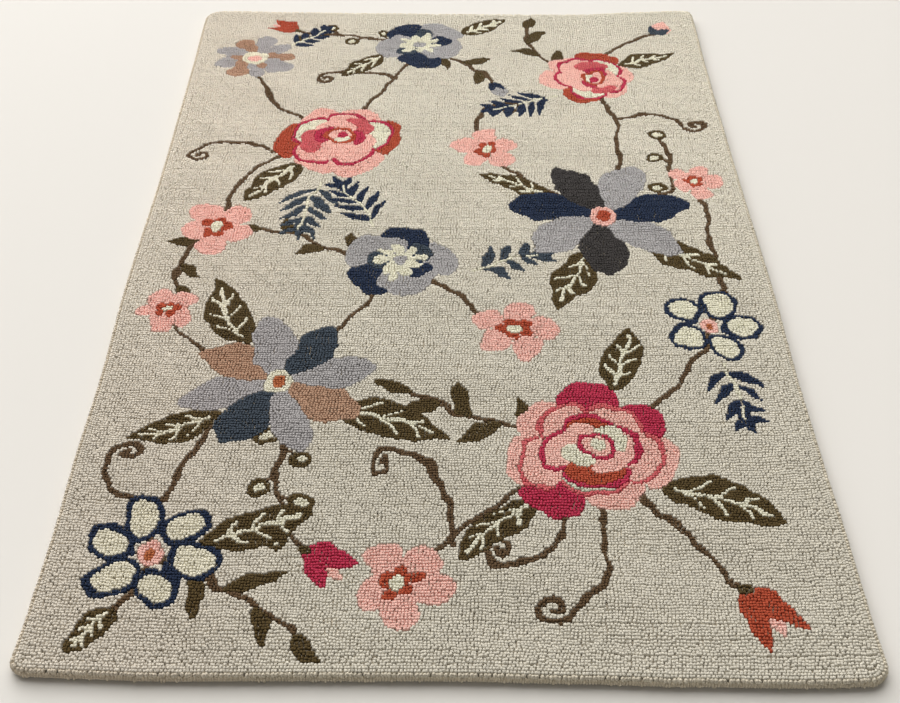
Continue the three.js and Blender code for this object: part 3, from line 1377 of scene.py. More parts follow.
def tufting_tree() -> bpy.types.GeometryNodeTree:
    """The tree that stands a loop on every point and gives each its own map cell.

    Returns:
        The tree, with the loop, its sizes, the map's cell and the wool as named inputs.
    """
    tree = bpy.data.node_groups.new("tufting", "GeometryNodeTree")
    sheet = NodeSheet(tree)
    sheet.socket("Points", "NodeSocketGeometry")
    sheet.socket("Loop", "NodeSocketObject")
    sheet.socket("Wool", "NodeSocketMaterial")
    sheet.socket("Cell Size", "NodeSocketFloat", value=0.01)
    sheet.socket("Cell Margin", "NodeSocketFloat", value=0.1)
    sheet.socket("Pile", "NodeSocketGeometry", "OUTPUT")
    given = sheet.node("NodeGroupInput").outputs

    def carried(name: str) -> bpy.types.NodeSocket:
        """The named vector that each point carries."""
        return sheet.shown(sheet.node(
            "GeometryNodeInputNamedAttribute", {"data_type": "FLOAT_VECTOR"}, Name=name,
        ))

    standing = sheet.node(
        "FunctionNodeAlignRotationToVector", {"axis": "Z"}, Vector=carried("stand"),
    )
    lying = sheet.node(
        "FunctionNodeAlignRotationToVector",
        {"axis": "X", "pivot_axis": "Z"},
        Rotation=standing.outputs[0],
        Vector=carried("lie"),
    )
    loop = sheet.node("GeometryNodeObjectInfo", Object=given["Loop"])
    placed = sheet.node(
        "GeometryNodeInstanceOnPoints",
        Points=given["Points"],
        Instance=loop.outputs["Geometry"],
        Rotation=lying.outputs[0],
        Scale=carried("girth"),
    )
    real = sheet.node("GeometryNodeRealizeInstances", Geometry=placed.outputs[0])
    margin = given["Cell Margin"]
    share = sheet.maths("MULTIPLY_ADD", margin, -2.0, 1.0)
    within = sheet.vectors("SCALE", carried("plan"), Scale=share)
    corner = sheet.node("ShaderNodeCombineXYZ", X=margin, Y=margin).outputs[0]
    padded = sheet.vectors("ADD", within, in1=corner)
    sized = sheet.vectors("SCALE", padded, Scale=given["Cell Size"])
    spot = sheet.vectors("ADD", sized, in1=carried("cell"))
    mapped = sheet.node(
        "GeometryNodeStoreNamedAttribute",
        {"data_type": "FLOAT2", "domain": "CORNER"},
        Geometry=real.outputs[0],
        Name=BAKE_MAP,
        Value=spot,
    )
    smooth = sheet.node("GeometryNodeSetShadeSmooth", Geometry=mapped.outputs[0])
    dressed = sheet.node(
        "GeometryNodeSetMaterial", Geometry=smooth.outputs[0], Material=given["Wool"],
    )
    sheet.node("NodeGroupOutput", Pile=dressed.outputs[0])
    return tree


@dataclass
class Tufter:
    """Turns sets of loops into plain meshes of tufted yarn.

    Attributes:
        tree: The Geometry Nodes tree that it works with.
        wool: The finish that the loops take.
    """

    tree: bpy.types.GeometryNodeTree
    wool: bpy.types.Material

    CELL_MARGIN = 0.1
    HELPERS = ("stand", "lie", "girth", "cell")

    def tuft(self, name: str, loops: LoopSet, loop: bpy.types.Object) -> bpy.types.Object:
        """Builds one piece of pile.

        Args:
            name: The piece's name.
            loops: The loops that it holds.
            loop: The shape of each loop.

        Returns:
            The piece, as a plain mesh at the origin.
        """
        points = loops.as_points(name)
        modifier = points.modifiers.new("tufting", "NODES")
        modifier.node_group = self.tree
        values = {
            "Loop": loop,
            "Wool": self.wool,
            "Cell Size": 1.0 / cells_a_side(len(loops)),
            "Cell Margin": self.CELL_MARGIN,
        }
        for item in self.tree.interface.items_tree:
            if item.item_type == "SOCKET" and item.name in values:
                modifier[item.identifier] = values[item.name]
        depsgraph = bpy.context.evaluated_depsgraph_get()
        whole = bpy.data.meshes.new_from_object(
            points.evaluated_get(depsgraph), preserve_all_data_layers=True, depsgraph=depsgraph,
        )
        whole.name = name
        points.modifiers.remove(modifier)
        bare = points.data
        points.data = whole
        bpy.data.meshes.remove(bare)
        for helper in self.HELPERS:
            layer = whole.attributes.get(helper)
            if layer is not None:
                whole.attributes.remove(layer)
        return points


def fibre_group() -> bpy.types.ShaderNodeTree:
    """The look of spun wool: stray fibres over the twist of two plies.

    Returns:
        A node group that puts out a tone to colour by, partly random and partly painted shade where the bump is low, a
        roughness and a bump height.
    """
    tree = bpy.data.node_groups.new("spun_fibre", "ShaderNodeTree")
    sheet = NodeSheet(tree)
    sheet.socket("Place", "NodeSocketVector")
    sheet.socket("Plan", "NodeSocketVector")
    sheet.socket("Fibres a Metre", "NodeSocketFloat", value=1500.0)
    sheet.socket("Twists a Loop", "NodeSocketFloat", value=2.2)
    sheet.socket("Twist Share", "NodeSocketFloat", value=0.5)
    sheet.socket("Tone", "NodeSocketFloat", "OUTPUT")
    sheet.socket("Roughness", "NodeSocketFloat", "OUTPUT")
    sheet.socket("Height", "NodeSocketFloat", "OUTPUT")
    given = sheet.node("NodeGroupInput").outputs
    fuzz = sheet.node(
        "ShaderNodeTexNoise",
        Vector=given["Place"],
        Scale=given["Fibres a Metre"],
        Detail=2.0,
        Roughness=0.6,
    ).outputs["Fac"]
    lean = sheet.node(
        "ShaderNodeVectorMath", {"operation": "DOT_PRODUCT"}, in0=given["Plan"], in1=(1.0, 0.8, 0.0),
    ).outputs["Value"]
    ply = sheet.ridges(sheet.maths("MULTIPLY", lean, given["Twists a Loop"]))
    height = sheet.node(
        "ShaderNodeMix", {"data_type": "FLOAT"}, in0=given["Twist Share"], in2=fuzz, in3=ply,
    ).outputs[0]
    # Painted shade: the tone follows the bump's height and is darker in the grooves between plies; the fibre noise in
    # it varies the tone at random.
    tone = sheet.mapped(height, (0.15, 0.85), (0.92, 1.07))
    rough = sheet.mapped(fuzz, (0.2, 0.8), (0.86, 1.0))
    sheet.node("NodeGroupOutput", Tone=tone, Roughness=rough, Height=height)
    return tree


def weave_group() -> bpy.types.ShaderNodeTree:
    """A plain weave: threads over and under each other in both directions.

    Returns:
        A node group that puts out a tone to colour by, with painted shade where the threads dip, and a bump height.
    """
    tree = bpy.data.node_groups.new("plain_weave", "ShaderNodeTree")
    sheet = NodeSheet(tree)
    sheet.socket("Place", "NodeSocketVector")
    sheet.socket("Threads a Metre", "NodeSocketFloat", value=800.0)
    sheet.socket("Tone", "NodeSocketFloat", "OUTPUT")
    sheet.socket("Height", "NodeSocketFloat", "OUTPUT")
    given = sheet.node("NodeGroupInput").outputs
    scaled = sheet.vectors("SCALE", given["Place"], Scale=given["Threads a Metre"])
    parts = sheet.node("ShaderNodeSeparateXYZ", Vector=scaled).outputs
    checks = sheet.node(
        "ShaderNodeTexChecker", Vector=scaled, Scale=1.0, Color1=(1, 1, 1, 1), Color2=(0, 0, 0, 1),
    ).outputs["Fac"]
    height = sheet.node(
        "ShaderNodeMix",
        {"data_type": "FLOAT"},
        in0=checks,
        in2=sheet.ridges(parts["X"]),
        in3=sheet.ridges(parts["Y"]),
    ).outputs[0]
    slub = sheet.node("ShaderNodeTexNoise", Vector=given["Place"], Scale=90.0, Detail=3.0)
    mottle = sheet.mapped(slub.outputs["Fac"], (0.0, 1.0), (-0.12, 0.12))
    # Painted shade: the cloth is coloured darker where the threads dip under one another.
    shade = sheet.mapped(height, (0.0, 1.0), (0.72, 1.0))
    tone = sheet.maths("ADD", shade, mottle)
    sheet.node("NodeGroupOutput", Tone=tone, Height=height)
    return tree


def bare_material(
    name: str, **values: float,
) -> tuple[bpy.types.Material, NodeSheet, bpy.types.Node]:
    """A material with only its shader and output.

    Args:
        name: The material's name.
        values: The shader's values, by the names of its inputs.

    Returns:
        The material, its tree and its shader.
    """
    material = bpy.data.materials.new(name)
    material.use_nodes = True
    shader = material.node_tree.nodes["Principled BSDF"]
    for label, value in values.items():
        shader.inputs[label.replace("_", " ")].default_value = value
    return material, NodeSheet(material.node_tree), shader


def tinted(sheet: NodeSheet, colour: object, tone: bpy.types.NodeSocket) -> bpy.types.NodeSocket:
    """A colour made lighter or darker by a tone.

    Args:
        sheet: The tree to work in.
        colour: A colour, or the socket that gives one.
        tone: The tone, 1 for no change.

    Returns:
        The socket of the changed colour.
    """
    return sheet.node(
        "ShaderNodeMix",
        {"data_type": "RGBA", "blend_type": "MULTIPLY"},
        in0=1.0,
        in6=colour,
        in7=tone,
    ).outputs[2]


@dataclass(frozen=True)
class WoolFinish:
    """Dyed wool in loops, each in the colour that it carries, with painted light brightening each loop's foot.

    Attributes:
        sheen: How much the fibres glow at a glancing angle.
        painted_foot_light: Painted light: how much brighter a loop's foot is coloured than its tip, standing in for
            light scattered down between the loops.
        relief: How far the plies and fibres stand out, in metres.
        bump: How strongly they show in the shading.
        softness: How far a loop is flattened on top, in its shading only.
    """

    sheen: float = 0.18
    painted_foot_light: float = 1.08
    relief: float = 0.00025
    bump: float = 0.5
    softness: float = 0.55

    def material(self, fibre: bpy.types.ShaderNodeTree) -> bpy.types.Material:
        """Makes the finish.

        Args:
            fibre: The node group of spun wool.

        Returns:
            The material.
        """
        material, sheet, shader = bare_material(
            "dyed_wool", Sheen_Weight=self.sheen, Sheen_Roughness=0.3, Specular_IOR_Level=0.06,
        )
        place = sheet.node("ShaderNodeTexCoord").outputs["Object"]
        plan = sheet.node("ShaderNodeAttribute", {"attribute_name": "plan"}).outputs["Vector"]
        spun = sheet.node("ShaderNodeGroup", {"node_tree": fibre}, Place=place, Plan=plan)
        wool = sheet.node("ShaderNodeAttribute", {"attribute_name": "wool"}).outputs["Color"]
        rise = sheet.node("ShaderNodeAttribute", {"attribute_name": "rise"}).outputs["Fac"]
        # Painted light: the colour is multiplied up towards the loop's foot, in place of light scattered into the
        # shaded gaps.
        depth = sheet.mapped(rise, (0.0, 1.0), (self.painted_foot_light, 1.0))
        tone = sheet.maths("MULTIPLY", depth, spun.outputs["Tone"])
        faces = sheet.node("ShaderNodeNewGeometry")
        softened = sheet.node(
            "ShaderNodeMix",
            {"data_type": "VECTOR"},
            in0=self.softness,
            in4=faces.outputs["Normal"],
            in5=faces.outputs["True Normal"],
        ).outputs[1]
        bump = sheet.node(
            "ShaderNodeBump",
            Strength=self.bump,
            Distance=self.relief,
            Height=spun.outputs["Height"],
            Normal=sheet.vectors("NORMALIZE", softened),
        )
        links = material.node_tree.links
        links.new(tinted(sheet, wool, tone), shader.inputs["Base Color"])
        links.new(spun.outputs["Roughness"], shader.inputs["Roughness"])
        links.new(bump.outputs[0], shader.inputs["Normal"])
        return material


@dataclass(frozen=True)
class RootsFinish:
    """The feet of the loops, seen only in the gaps, in a colour darker than the wool as painted shade.

    Attributes:
        shade: The colour in display red, green and blue, darkened below the wool's as painted shade.
    """

    shade: tuple[float, float, float] = (0.74, 0.70, 0.63)

    def material(self, fibre: bpy.types.ShaderNodeTree) -> bpy.types.Material:
        """Makes the finish.

        Args:
            fibre: The node group of spun wool.

        Returns:
            The material.
        """
        material, sheet, shader = bare_material("pile_roots", Specular_IOR_Level=0.1)
        place = sheet.node("ShaderNodeTexCoord").outputs["Object"]
        spun = sheet.node("ShaderNodeGroup", {"node_tree": fibre}, Place=place, Twist_Share=0.0)
        links = material.node_tree.links
        tone = spun.outputs["Tone"]
        # Painted shade: the roots take one darker colour where the gaps between the loops lie in shade.
        links.new(tinted(sheet, linear_rgba(self.shade), tone), shader.inputs["Base Color"])
        links.new(spun.outputs["Roughness"], shader.inputs["Roughness"])
        return material


@dataclass(frozen=True)
class CottonFinish:
    """The unbleached cotton cloth of the underside.

    Attributes:
        shade: The colour in display red, green and blue.
        threads: Threads to a metre.
        relief: How far the threads stand out, in metres.
        bump: How strongly they show in the shading.
    """

    shade: tuple[float, float, float] = (0.80, 0.76, 0.67)
    threads: float = 700.0
    relief: float = 0.0003
    bump: float = 0.7

    def material(self, weave: bpy.types.ShaderNodeTree) -> bpy.types.Material:
        """Makes the finish.

        Args:
            weave: The node group of a plain weave.

        Returns:
            The material.
        """
        material, sheet, shader = bare_material(
            "cotton_backing", Roughness=0.92, Specular_IOR_Level=0.15,
        )
        place = sheet.node("ShaderNodeTexCoord").outputs["Object"]
        cloth = sheet.node(
            "ShaderNodeGroup", {"node_tree": weave}, Place=place, Threads_a_Metre=self.threads,
        )
        bump = sheet.node(
            "ShaderNodeBump",
            Strength=self.bump,
            Distance=self.relief,
            Height=cloth.outputs["Height"],
        )
        links = material.node_tree.links
        tone = cloth.outputs["Tone"]
        links.new(tinted(sheet, linear_rgba(self.shade), tone), shader.inputs["Base Color"])
        links.new(bump.outputs[0], shader.inputs["Normal"])
        return material


@dataclass
class DyeLotAndPaintedSheen:
    """How the wools vary from loop to loop and from skein to skein, and the painted sheen that lightens the far end.

    Attributes:
        chance: The source of random numbers.
        fleck: How much one loop's tone differs from the next.
        skein: How much a run of loops differs from the next.
        painted_far_sheen: Painted sheen: how much lighter the far end is coloured than the near end, standing in for
            the pile's glow at a glancing angle.
        warm_side: How much redder the rug's left side is dyed.
    """

    chance: np.random.Generator
    fleck: float = 0.034
    skein: float = 0.018
    painted_far_sheen: float = 0.27
    warm_side: float = 0.022

    SKEIN_LENGTH = 95.0
    ROW_PITCH = 4.5
    NEAR_TONE = 0.92
    PALING = (-700.0, 600.0)
    WARMING = (120.0, 430.0)
    WARM_TINT = (1.0, -0.3, -0.2)

    def colours(self, dyeing: Dyeing) -> np.ndarray:
        """The linear colour of every loop.

        Args:
            dyeing: The loops and their yarns.

        Returns:
            Red, green, blue and alpha for each loop.
        """
        wools = to_linear(np.array([yarn.value for yarn in YARNS]))[dyeing.yarns]
        across, along = dyeing.places.T
        row = np.floor(along / self.ROW_PITCH).astype(int)
        row = row - row.min()
        start = self.chance.uniform(0, self.SKEIN_LENGTH, row.max() + 1)
        run = np.floor((across + start[row]) / self.SKEIN_LENGTH).astype(int)
        run = run - run.min()
        skeins = self.chance.normal(0, self.skein, (row.max() + 1, run.max() + 1))
        tone = 1 + skeins[row, run] + self.chance.normal(0, self.fleck, len(across))
        # Painted sheen: the tone rises from NEAR_TONE at the near end to lighter at the far end, in place of the glow
        # of wool seen at a glancing angle.
        tone *= self.NEAR_TONE + self.painted_far_sheen * eased(along, *self.PALING)
        warmth = self.warm_side * eased(-across, *self.WARMING)
        tint = 1 + warmth[:, None] * self.WARM_TINT
        colour = np.clip(wools * tone[:, None] * tint, 0.0, 1.0)
        return np.column_stack([colour, np.ones(len(colour))])


@dataclass(frozen=True)
class RimRow:
    """A row of loops that follows the outline.

    Attributes:
        inset: How far in from the outline its tips lie, for a row on top of the pile.
        height: How high its tips lie, for a row on the side; none for a row on top.
        spacing: The distance from loop to loop.
        size: A loop's length, width and height.
        upright: Whether the loops' length runs up the side, not along the rim.
        ragged: How uneven they are beside the loops of the rows.
        proud: How far its tips stand above the surface of the solid.
        shade: What its yarn's colour is multiplied by, a painted warm light where the row lies in shade.
    """

    inset: float
    height: float | None
    spacing: float
    size: tuple[float, float, float]
    upright: bool
    ragged: float
    proud: float = 0.0
    shade: tuple[float, float, float] = (1.0, 1.0, 1.0)


# Painted light: warm tints for the side wall and the crown, standing in for the warm light that they get in shade.
WALL_PAINTED_WARMTH = (1.07, 1.01, 0.92)
CROWN_PAINTED_WARMTH = (1.03, 1.0, 0.95)


@dataclass
class Pile:
    """The looped pile: rows across the rug, and the rows that follow its rim.

    Attributes:
        form: The rug's true shape.
        chance: The source of random numbers.
        row_pitch: The distance from row to row.
        loop_pitch: The distance from loop to loop in a row.
        loop_length: A loop's length along its row.
        loop_width: A loop's width.
        loop_height: How far a loop stands clear of the roots.
        strips: How many lengthwise pieces the rows are made in.
        rim_rows: The rows that make the rim, in the ground's yarn under their painted warm light.
        inner_rows: The rows beside it that take the pattern's colours.
    """

    form: RugForm
    chance: np.random.Generator
    row_pitch: float = 0.00450
    loop_pitch: float = 0.00438
    loop_length: float = 0.00420
    loop_width: float = 0.00475
    loop_height: float = 0.0026
    strips: int = 5
    rim_rows: tuple[RimRow, ...] = (
        RimRow(0.0, 0.0068, 0.0037, (0.0116, 0.0058, 0.004), True, 0.3, 0.0014, WALL_PAINTED_WARMTH),
        RimRow(0.0029, None, 0.0053, (0.0064, 0.0064, 0.004), False, 2.0, 0.0027, CROWN_PAINTED_WARMTH),
    )
    inner_rows: tuple[RimRow, ...] = (
        RimRow(0.0072, None, 0.0045, (0.0045, 0.0048, 0.003), False, 1.4, 0.0006),
        RimRow(0.0115, None, 0.0044, (0.0044, 0.0047, 0.003), False, 1.2, 0.0002),
    )

    FIRST_ROW_INSET = 0.0157
    FITTED_LOOPS = 16
    SWAY = 0.16
    SWAY_KEPT = 0.9
    SWAY_ROWS = 24
    BROAD_WAVES = (4, 0.11, 0.0007)
    FINE_WAVES = (10, 0.030, 0.00028)
    STEADY_WIDTH = 0.05
    FITTED_WIDTH = 0.015
    RAGGED_RIM = 1.2
    RAGGED_WIDTH = 0.03
    LEAST_FINE = 0.3
    WAVE_LENGTHS = (0.6, 1.6)
    EDGE_SLACK = 0.0006
    CROSSED = 0.18
    PLACE_SCATTER = 0.00036
    ROW_SCATTER = 0.00028
    WALL_SCATTER = 0.0002
    TURN_SCATTER = 0.3
    LEAN_SCATTER = 0.06
    TIP_SCATTER = 0.00024
    SIZE_SCATTER = 0.04
    LIFT = 2.5
    LOOKS = 12
    LOOK = 0.0034
    BESIDE = 0.0022
    DRAWN = 0.6
    ONE_SIDED = 0.1
    NEAREST = 1e-6

    def row_places(self) -> np.ndarray:
        """Lays the loops of the rows across the rug out between its edges.

        Returns:
            Their places across and along the rug.
        """
        inset = self.FIRST_ROW_INSET
        near, far = (self.form.edge(1, side, inset) for side in (-1, 1))
        left, right = (self.form.edge(0, side, inset) for side in (-1, 1))
        length = far[1].mean() - near[1].mean()
        rows = round(length / self.row_pitch) + 1
        count = round((right[1].mean() - left[1].mean()) / self.loop_pitch) + 1
        climb = np.linspace(0.0, 1.0, rows) + self.chance.normal(0, self.ROW_SCATTER, rows) / length
        level = near[1].mean() + climb * length
        start = np.interp(level, *left)[:, None]
        end = np.interp(level, *right)[:, None]
        index = np.arange(count)
        loose = np.clip(np.minimum(index, count - 1 - index) / self.FITTED_LOOPS, 0.0, 1.0)
        pushes = self.chance.normal(0, self.SWAY, rows + self.SWAY_ROWS - 1)
        sway = np.convolve(pushes, self.SWAY_KEPT ** np.arange(self.SWAY_ROWS), "valid")
        phase = sway[:, None] * loose
        across = start + (end - start) * (index + phase) / (count - 1)
        low = np.interp(across, *near)
        high = np.interp(across, *far)
        along = low + (high - low) * climb[:, None]
        places = np.stack([across, along], axis=-1).reshape(-1, 2)
        clear = self.form.inset_of(places)
        kept = clear > inset - self.EDGE_SLACK
        places, clear = places[kept], clear[kept]
        looser = 1 + self.RAGGED_RIM * np.exp(-clear / self.RAGGED_WIDTH)
        strayed = self.chance.normal(0, self.PLACE_SCATTER, places.shape) * looser[:, None]
        inward = (clear - inset)[:, None]
        freedom = np.clip(inward / self.STEADY_WIDTH, 0.0, 1.0)
        broad = self.wander(places, *self.BROAD_WAVES) * freedom
        freedom = np.clip(inward / self.FITTED_WIDTH, self.LEAST_FINE, 1.0)
        fine = self.wander(places, *self.FINE_WAVES) * freedom
        return places + strayed + broad + fine

    def wander(self, places: np.ndarray, waves: int, length: float, height: float) -> np.ndarray:
        """How far the lines of tufting wander off at each place.

        Args:
            places: Places across and along the rug.
            waves: How many waves cross one another.
            length: Their mean length.
            height: Their usual height.

        Returns:
            The shift across and along for each.
        """
        bearing = self.chance.uniform(0, 2 * math.pi, waves)
        lengths = length * self.chance.uniform(*self.WAVE_LENGTHS, waves)
        turns = 2 * math.pi / lengths * np.stack([np.cos(bearing), np.sin(bearing)])
        swing = self.chance.uniform(0, 2 * math.pi, (2, waves))
        reach = self.chance.normal(0, height, (2, waves))
        angle = (places @ turns)[:, None, :] + swing
        return (np.sin(angle) * reach).sum(-1)

    def scattered(self, tips: np.ndarray, stand: np.ndarray, lie: np.ndarray,
                  size: tuple[float, float, float], ragged: float = 1.0) -> LoopSet:
        """Loops on the surface, each a little out of line and out of size.

        Args:
            tips: Their outermost points on the rug's surface.
            stand: The surface's normals.
            lie: The directions in which they are longest.
            size: Their mean length, width and height.
            ragged: How uneven they are beside the loops of the rows.

        Returns:
            The loops, still without a colour.
        """
        count = len(tips)
        lean = self.chance.normal(0, self.LEAN_SCATTER * ragged, (count, 3))
        leaning = stand + lean
        leaning /= np.linalg.norm(leaning, axis=1)[:, None]
        turned = lie + self.chance.normal(0, self.TURN_SCATTER * ragged, (count, 3))
        swell = self.chance.normal(0, self.SIZE_SCATTER * ragged, (count, 3))
        girth = np.array(size) * (1 + swell)
        sunk = np.abs(self.chance.normal(0, self.TIP_SCATTER * ragged, count))
        return LoopSet(tips - stand * sunk[:, None], leaning, turned, girth, np.ones((count, 4)))

    def yarns_at(self, places: np.ndarray, motifs: tuple) -> np.ndarray:
        """Which yarn the pattern asks for at each place.

        Args:
            places: Places across and along the rug.
            motifs: The pattern's motifs in the order of tufting.

        Returns:
            The yarn's index for each.
        """
        dyeing = Dyeing.of_ground(places / MILLIMETRE)
        for motif in motifs:
            motif.paint(dyeing)
        return dyeing.yarns

    def drawn_up(self, places: np.ndarray, motifs: tuple) -> np.ndarray:
        """Draws the loops beside a change of yarn up to its line, so that the line runs smoothly.

        Each loop looks a little way out all round. The share of looks that meet another yarn
        gives its distance from the line, and their mean bearing gives the way to it.

        Args:
            places: Places across and along the rug.
            motifs: The pattern's motifs in the order of tufting.

        Returns:
            The places, those beside a line moved across it.
        """
        own = self.yarns_at(places, motifs)
        away = np.zeros_like(places)
        share = np.zeros(len(places))
        for bearing in np.linspace(0.0, 2 * math.pi, self.LOOKS, endpoint=False):
            way = np.array([math.cos(bearing), math.sin(bearing)])
            other = self.yarns_at(places + way * self.LOOK, motifs) != own
            away -= other[:, None] * way / self.LOOKS
            share += other / self.LOOKS
        distance = self.LOOK * np.cos(math.pi * np.minimum(share, 0.5))
        reach = np.linalg.norm(away, axis=1)
        expected = np.maximum(np.sin(math.pi * share), self.ONE_SIDED)
        one_sided = np.clip(reach * math.pi / expected, 0.0, 1.0)
        shift = self.DRAWN * (self.BESIDE - distance) * one_sided
        return places + away / np.maximum(reach, self.NEAREST)[:, None] * shift[:, None]

    def top_loops(self, motifs: tuple) -> LoopSet:
        """The loops of the rows across the rug.

        Args:
            motifs: The pattern's motifs in the order of tufting.

        Returns:
            The loops, still without a colour.
        """
        places = self.drawn_up(self.row_places(), motifs)
        tips, stand = self.form.tips_below(places)
        crossed = self.chance.random(len(places)) < self.CROSSED
        lie = np.where(crossed[:, None], [0.0, 1.0, 0.0], [1.0, 0.0, 0.0])
        size = (self.loop_length, self.loop_width, self.loop_height)
        return self.scattered(tips, stand, lie, size)

    def rim_loops(self, row: RimRow) -> LoopSet:
        """The loops of one row that follows the rim.

        Args:
            row: Which row.

        Returns:
            Its loops.
        """
        places, outward = self.form.walk(row.spacing, row.inset)
        count = len(places)
        ahead = np.column_stack([-outward[:, 1], outward[:, 0], np.zeros(count)])
        aside = self.chance.normal(0, self.PLACE_SCATTER * row.ragged, (count, 1))
        places = places + ahead[:, :2] * aside
        if row.height is None:
            tips, stand = self.form.tips_below(places)
        else:
            height = row.height + self.chance.normal(0, self.WALL_SCATTER, count)
            origins = np.column_stack([places + outward * self.form.CLEAR, height])
            tips, stand = self.form.tips(origins, np.column_stack([-outward, np.zeros(count)]))
        lie = np.cross(stand, ahead) if row.upright else ahead
        if row.height is None:
            stand = stand + [0.0, 0.0, self.LIFT]
            stand /= np.linalg.norm(stand, axis=1)[:, None]
        tips = tips + stand * row.proud
        return self.scattered(tips, stand, lie, row.size, row.ragged)

    def rim_dyed_and_painted(self, row: RimRow, lot: DyeLotAndPaintedSheen) -> LoopSet:
        """The loops of one row of the rim in their colours, with the row's painted warm light.

        Args:
            row: Which row.
            lot: How the wools vary, and the painted sheen.

        Returns:
            Its loops.
        """
        loops = self.rim_loops(row)
        loops.wool = lot.colours(Dyeing.of_ground(loops.tips[:, :2] / MILLIMETRE))
        # Painted light: the row's warm tint stands in for the warm light on the shaded rim.
        loops.wool[:, :3] *= row.shade
        return loops

    def build(self, tufter: Tufter, lot: DyeLotAndPaintedSheen, motifs: tuple) -> list[bpy.types.Object]:
        """Colours the whole pile with its dyes and painted light, and tufts it.

        Args:
            tufter: What makes the meshes.
            lot: How the wools vary, and the painted sheen.
            motifs: The pattern's motifs in the order of tufting.

        Returns:
            The pieces of pile, the rim last.
        """
        field_loops = self.top_loops(motifs)
        for row in self.inner_rows:
            field_loops = field_loops.joined(self.rim_loops(row))
        dyeing = Dyeing.of_ground(field_loops.tips[:, :2] / MILLIMETRE)
        dyeing.yarns = self.yarns_at(field_loops.tips[:, :2], motifs)
        field_loops.wool = lot.colours(dyeing)
        order = np.argsort(field_loops.tips[:, 0], kind="stable")
        pile_loop = PILE_LOOP.build()
        rim_loop = RIM_LOOP.build()
        pieces = []
        for number, picked in enumerate(np.array_split(order, self.strips), start=1):
            part = field_loops.part(np.sort(picked))
            pieces.append(tufter.tuft(f"pile_strip_{number}", part, pile_loop))
            LOG.info("pile_strip_%d: %d loops", number, len(part))
        rim = self.rim_dyed_and_painted(self.rim_rows[0], lot)
        for row in self.rim_rows[1:]:
            rim = rim.joined(self.rim_dyed_and_painted(row, lot))
        pieces.append(tufter.tuft("rolled_rim", rim, rim_loop))
        LOG.info("rolled_rim: %d loops", len(rim))
        return pieces


@dataclass
class ClothGround:
    """The cotton ground that the loops are tufted through, from the floor to their roots.

    Attributes:
        form: The rug's true shape.
        profile: Its rim from the floor up: each ring's inset and height.
    """

    form: RugForm
    profile: tuple[tuple[float, float], ...] = (
        (0.0046, 0.0),
        (0.0036, 0.0008),
        (0.0036, 0.0092),
        (0.0062, 0.0128),
    )

    RING_SPACING = 0.012

    def build(self, roots: bpy.types.Material, cotton: bpy.types.Material) -> bpy.types.Object:
        """Builds the closed sheet of cloth.

        Args:
            roots: The finish of its top and sides.
            cotton: The finish of its underside.

        Returns:
            The sheet.
        """
        mesh = bmesh.new()
        rings = []
        for inset, height in self.profile:
            places, _ = self.form.walk(self.RING_SPACING, inset)
            rings.append([mesh.verts.new((x, y, height)) for x, y in places])
        for lower, upper in zip(rings[:-1], rings[1:]):
            for i in range(len(lower)):
                after = (i + 1) % len(lower)
                mesh.faces.new((lower[i], lower[after], upper[after], upper[i]))
        top = mesh.faces.new(rings[-1])
        underside = mesh.faces.new(rings[0][::-1])
        underside.material_index = 1
        bmesh.ops.triangulate(mesh, faces=[top, underside])
        data = bpy.data.meshes.new("cloth_ground")
        mesh.to_mesh(data)
        mesh.free()
        data.materials.append(roots)
        data.materials.append(cotton)
        return linked(bpy.data.objects.new("cloth_ground", data))


